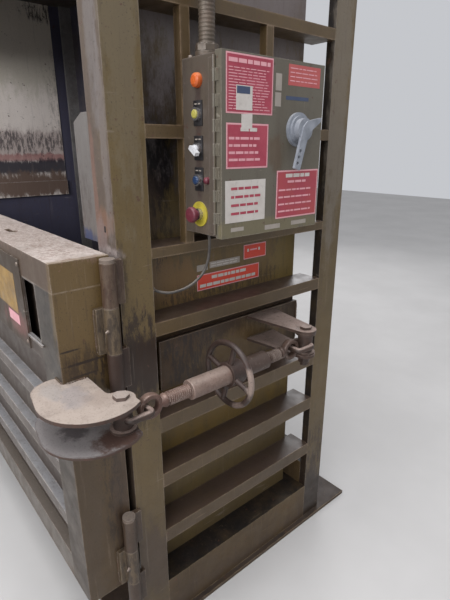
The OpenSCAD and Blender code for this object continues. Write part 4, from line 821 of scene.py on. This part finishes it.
class Label:
    """Flat fields and bars on one face. Side "x" looks along +X, and side "y" looks along -Y."""

    def __init__(self, side, plane):
        self.p = Piece()
        self.side = side
        self.plane = plane
        self.mats = []

    def field(self, a0, a1, z0, z1, key, layer=0, lean=0.0):
        if key not in self.mats:
            self.mats.append(key)
        thickness = 0.0003
        corners = [(a0, z0), (a1, z0 + lean), (a1, z1 + lean), (a0, z1)]
        out = 1 if self.side == "x" else -1
        rows = []
        for depth in (0.00005, thickness * (layer + 1)):
            at = self.plane + out * depth
            places = [(at, a, z) if self.side == "x" else (a, at, z) for a, z in corners]
            rows.append([self.p.bm.verts.new(place) for place in places])
        faces = [self.p.bm.faces.new(rows[1])]
        for k in range(4):
            j = (k + 1) % 4
            faces.append(self.p.bm.faces.new((rows[0][k], rows[0][j], rows[1][j], rows[1][k])))
        faces.append(self.p.bm.faces.new(rows[0]))
        for f in faces:
            f.material_index = self.mats.index(key)

    def bars(self, a0, a1, z0, z1, rows, key, fill, ragged, layer=2, seed=1):
        """Rows of short bars where lines of words would be."""
        rng = random.Random(seed)
        pitch = (z1 - z0) / rows
        for i in range(rows):
            z = z1 - (i + 0.5) * pitch
            end = a1 - rng.random() * ragged * (a1 - a0)
            at = a0
            while at < end - 0.004:
                word = min(end, at + rng.uniform(0.010, 0.030))
                self.field(at, word, z - pitch * fill / 2, z + pitch * fill / 2, key, layer)
                at = word + 0.0035

    def done(self, name, body):
        return self.p.done(name, self.mats, body)


def bordered(label, a0, a1, z0, z1, tone, width):
    """A field with a pink border."""
    label.field(a0, a1, z0, z1, "label_pink")
    label.field(a0 + width, a1 - width, z0 + width, z1 - width, tone, 1)


door_labels = Label("x", BOX_FACE)
bordered(door_labels, -0.231, -0.078, 1.669, 1.797, "label_red", 0.0035)
door_labels.bars(-0.223, -0.088, 1.774, 1.790, 1, "label_pink", fill=0.55, ragged=0.05)
door_labels.bars(-0.223, -0.088, 1.676, 1.770, 15, "label_pink", fill=0.30, ragged=0.15, seed=4)
door_labels.field(-0.200, -0.148, 1.677, 1.731, "label_white", 3)
door_labels.field(-0.198, -0.156, 1.713, 1.729, "label_blue", 4)
door_labels.field(-0.182, -0.147, 1.634, 1.668, "label_white", 3, 0.003)
bordered(door_labels, -0.230, -0.090, 1.5435, 1.648, "label_red", 0.004)
door_labels.bars(-0.185, -0.130, 1.628, 1.640, 1, "label_white", fill=0.7, ragged=0.0)
door_labels.bars(-0.222, -0.098, 1.556, 1.622, 4, "label_pink", fill=0.36, ragged=0.3, seed=9)
door_labels.field(-0.233, -0.095, 1.412, 1.5155, "label_white")
door_labels.bars(-0.214, -0.112, 1.424, 1.506, 4, "label_red", layer=1, fill=0.32, ragged=0.12, seed=3)
bordered(door_labels, -0.053, 0.1165, 1.4065, 1.534, "label_danger", 0.004)
door_labels.bars(-0.018, 0.085, 1.512, 1.528, 1, "label_white", fill=0.6, ragged=0.05)
door_labels.bars(-0.010, 0.072, 1.498, 1.510, 1, "label_pink", fill=0.5, ragged=0.05)
door_labels.bars(-0.044, 0.105, 1.416, 1.492, 4, "label_pink", fill=0.24, ragged=0.15, seed=6)
door_labels.field(-0.0225, 0.1025, 1.743, 1.792, "label_orange")
door_labels.bars(-0.016, 0.096, 1.749, 1.788, 4, "label_pink", layer=1, fill=0.25, ragged=0.1, seed=2)
door_labels.field(-0.029, 0.059, 1.7085, 1.7175, "label_blue")
for y0, y1, z0, z1 in ((-0.068, -0.0465, 1.728, 1.767), (-0.069, -0.0475, 1.691, 1.7235),
        (-0.214, -0.170, 1.389, 1.399), (-0.093, -0.034, 1.3815, 1.394), (0.012, 0.075, 1.384, 1.3955)):
    door_labels.field(y0, y1, z0, z1, "label_grey")
door_labels.done("box_labels", "box_door")

sheet_labels = Label("x", SHEET_X)
sheet_labels.field(-0.139, -0.095, 1.2205, 1.2405, "label_grey")
sheet_labels.field(-0.088, 0.042, 1.2235, 1.2445, "label_grey")
sheet_labels.bars(-0.082, 0.036, 1.226, 1.242, 2, "label_white", layer=1, fill=0.4, ragged=0.1, seed=11)
bordered(sheet_labels, 0.060, 0.1655, 1.229, 1.279, "label_sheet", 0.003)
for y in (0.076, 0.128):
    sheet_labels.field(y, y + 0.008, 1.254, 1.264, "label_white", 2)
sheet_labels.field(0.090, 0.122, 1.257, 1.262, "label_pink", 2)
bordered(sheet_labels, -0.139, 0.1335, 1.156, 1.2085, "label_sheet", 0.003)
sheet_labels.bars(-0.080, 0.075, 1.184, 1.203, 1, "label_white", fill=0.55, ragged=0.02, seed=12)
sheet_labels.bars(-0.128, 0.120, 1.161, 1.180, 1, "label_white", fill=0.55, ragged=0.02, seed=14)
sheet_labels.done("sheet_labels", "frame")

# Weld beads of the ribs, the anchor pad and bracket, and the fixed hinge knuckles
p = Piece()
for z0, h in zip(RIB_BOTTOMS, RIB_HEIGHTS):
    for y, inner in ((FRONT + POST + BEAD, 0.93), (REAR - POST - BEAD, 0.985)):
        for side in (1, -1):
            for z in (z0 + h, z0):
                p.weld((side * 1.008, y, z), (side * inner, y, z), 0.003)
x, top_x = PAD_X + BEAD, PAD_STEP_X + BEAD
top_z = RIB_BOTTOMS[3] - BEAD
p.weld((x, PAD_Y[0], PAD_BOTTOM), (x, PAD_Y[0], PAD_STEP_Z - BEAD))
p.weld((top_x, PAD_Y[0], top_z), (top_x, PAD_Y[1], top_z))
p.weld((PAD_X, PAD_Y[0], PAD_STEP_Z), (PAD_X, PAD_Y[1], PAD_STEP_Z), 0.003)
p.weld((x, PAD_Y[1], PAD_BOTTOM), (x, PAD_Y[1], PAD_STEP_Z - BEAD))
for z in HORN_Z:
    p.weld((x, ANCHOR_Y - ANCHOR_FOOT, z), (x, ANCHOR_Y + ANCHOR_FOOT, z), 0.0035)
for foot in HINGE_FEET:
    for z in (foot, foot + KNUCKLE_STEP):
        y = FRONT + 0.0085
        p.weld((SIDE + BEAD, y, z + 0.004), (SIDE + BEAD, y, z + FIXED_KNUCKLE - 0.004))
        end = z + FIXED_KNUCKLE
        p.weld((SIDE + BEAD, FRONT + 0.006, end), (SIDE + 0.014, FRONT + 0.001, end), 0.003)
p.done("frame_welds", "weld", "frame", 60, "frame_paint")

# Weld beads of the horn plates and the door knuckles
p = Piece()
for z in HORN_Z:
    p.weld((0.965, DOOR_FRONT - BEAD, z), (1.013, DOOR_FRONT - BEAD, z))
    p.weld((SIDE + BEAD, -0.622, z), (SIDE + BEAD, -0.566, z))
for foot in HINGE_FEET:
    low = foot + FIXED_KNUCKLE + 0.005
    p.weld((SIDE + BEAD, -0.5315, low), (SIDE + BEAD, -0.5315, low + DOOR_KNUCKLE - 0.008))
p.done("door_welds", "weld", "door", 60, "frame_paint")

# Grease nipples on the door knuckles
p = Piece()
for foot in HINGE_FEET:
    base = HINGE + Vector((0.0098, -0.0170, foot + 0.180))
    p.revolve(base, (0.5, -0.87, 0),
        [(0.0045, 0), (0.0045, 0.004), (0.003, 0.006), (0.0035, 0.008), (0.002, 0.011), (0, 0.011)], 12)
p.done("grease_nipples", "pin", "door", 35, "bare_steel")

# Small screws on the sign panel
p = Piece()
for x in (0.785, 0.40, -0.40, -0.785):
    for z in (1.078, 1.300):
        p.screw((x, SIGN_FACE, z), (0, -1, 0), 0.006, 0.003)
p.done("sign_screws", "pin", "door", 35, "bare_steel")

# Lip under the window slot of the door
p = Piece()
p.box((0.800, DOOR_FRONT - 0.006, 1.100), (0.910, DOOR_FRONT, 1.107), 0.002)
p.done("slot_lip", "door_rib", "door")

# Sign on the door: worn stickers with no lettering left
sign = Label("y", SIGN_FACE)
sign.field(0.560, 0.735, 1.150, 1.268, "label_yellow", 0, -0.004)
sign.field(0.300, 0.520, 1.120, 1.280, "label_yellow")
sign.field(0.640, 0.735, 1.110, 1.140, "label_pink")
sign.field(-0.60, 0.20, 1.150, 1.260, "label_grey")
sign.done("sign_stickers", "door")

# Faint marks on the legend plates
marks = Label("y", PANEL_Y - 0.003)
for z in BUTTON_Z:
    for x0, x1 in ((-0.012, -0.002), (0.002, 0.011)):
        marks.field(DEVICE_X + x0, DEVICE_X + x1, z + 0.0215, z + 0.0245, "label_grey")
marks.done("legend_marks", "frame")

# Small slot in the front face of the right front post, as a flat field painted dark for the shade inside the
# slot
slot = Label("y", FRONT)
slot.field(0.958, 0.966, 1.388, 1.404, "painted_slot_shade")
slot.done("post_slot", "frame")

# Bolts of the cylinder flange and the tank lid
p = Piece()
for a in range(8):
    t = math.radians(22.5 + 45 * a)
    p.hexagon((0.115 * math.cos(t), MID + 0.115 * math.sin(t), 3.125), (0, 0, 1), 0.011, 0.010)
for x in (0.300, 0.430, 0.560, 0.690, 0.820):
    for y in (MID - 0.150, MID + 0.150):
        p.hexagon((x, y, TANK_TOP), (0, 0, 1), 0.007, 0.006)
p.done("flange_bolts", "zinc", "frame", 35, "bare_steel")

# Hose ends: crimped collar and hexagon nut
p = Piece()
for centre, axis in (((0.410, MID + 0.030, 3.538), (0, 0, 1)), ((0.410, MID - 0.030, 3.538), (0, 0, 1)),
        ((0.098, MID, 3.940), (1, 0, 0)), ((0.098, MID, 2.685), (1, 0, 0))):
    p.revolve(centre, axis, [(0.0115, 0), (0.0175, 0.001), (0.0175, 0.015), (0.0115, 0.016)], 6, caps=False)
    p.revolve(centre, axis, [(0.0115, 0.016), (0.0145, 0.018), (0.0145, 0.026), (0.0132, 0.028),
        (0.0132, 0.031), (0.0145, 0.033), (0.0145, 0.042), (0.0115, 0.044)], 24, caps=False)
p.done("hose_ends", "zinc", "frame", 35, "bare_steel")


def on_grille(r, t):
    """A place on the fan grille, by its distance from the motor's axis and its angle."""
    return (MOTOR_X + r * math.cos(t), MID + r * math.sin(t), GRILLE_Z)


# Filler cap of the tank, and the fan grille on top of the motor
p = Piece()
p.revolve((0.328, MID + 0.112, TANK_TOP + 0.034), (0, 0, 1), [(0.020, 0), (0.033, 0.001), (0.034, 0.006),
    (0.034, 0.020), (0.031, 0.026), (0.012, 0.030), (0, 0.030)], 20)
for r in (0.020, 0.040, 0.060, 0.080):
    p.sweep([on_grille(r, 2 * math.pi * k / 40) for k in range(41)], WIRE, 6, caps=False)
for k in range(6):
    t = math.radians(60 * k + 15)
    p.sweep([on_grille(r, t) for r in (0.010, 0.050, 0.090)], WIRE, 6)
p.done("power_unit_trim", "black", "frame", 35)

# Floor: part of the studio, not of the machine
mesh = bpy.data.meshes.new("studio_floor")
size = 14.0
mesh.from_pydata([(-size, -size, 0), (size, -size, 0), (size, size, 0), (-size, size, 0)], [], [(0, 1, 2, 3)])
ground = bpy.data.objects.new("studio_floor", mesh)
bpy.context.scene.collection.objects.link(ground)
s = Shader("studio_floor")
pale = s.lay(srgb(184, 182, 180), (192, 190, 188), s.span(s.noise(1.2, 4, 0.6), 0.3, 0.7))
ground.data.materials.append(s.finish(pale, 0.75))

# Light
world = bpy.data.worlds.new("studio")
bpy.context.scene.world = world
world.use_nodes = True
sky = world.node_tree.nodes["Background"]
sky.inputs[0].default_value = (0.93, 0.95, 1.0, 1.0)
sky.inputs[1].default_value = 0.60


def lamp(name, place, target, size, power):
    data = bpy.data.lights.new(name, "AREA")
    data.shape = "SQUARE"
    data.size = size
    data.energy = power
    data.color = (0.98, 0.98, 1.0)
    obj = bpy.data.objects.new(name, data)
    obj.location = place
    obj.rotation_euler = (Vector(target) - Vector(place)).to_track_quat("-Z", "Y").to_euler()
    bpy.context.scene.collection.objects.link(obj)


lamp("ceiling", (1.2, -0.8, 5.6), (0.6, -0.2, 1.0), 3.5, 250)
lamp("front_fill", (3.6, -3.6, 2.8), (0.8, -0.3, 1.1), 2.5, 80)
lamp("back_fill", (-2.6, 4.2, 3.4), (-0.2, 0.4, 1.5), 2.5, 75)
lamp("opening_fill", (1.0, -2.9, 2.5), (-0.9, 0.1, 1.7), 1.2, 45)

# Camera at the photograph's viewing angle
camera = bpy.data.cameras.new("camera")
camera.lens = 27.29
camera.sensor_width = 36
view = bpy.data.objects.new("camera", camera)
view.location = (2.034, -0.967, 1.596)
view.rotation_euler = Vector((-0.7224, 0.6127, -0.3206)).to_track_quat("-Z", "Y").to_euler()
bpy.context.scene.collection.objects.link(view)
bpy.context.scene.camera = view
bpy.context.scene.view_settings.view_transform = "Standard"
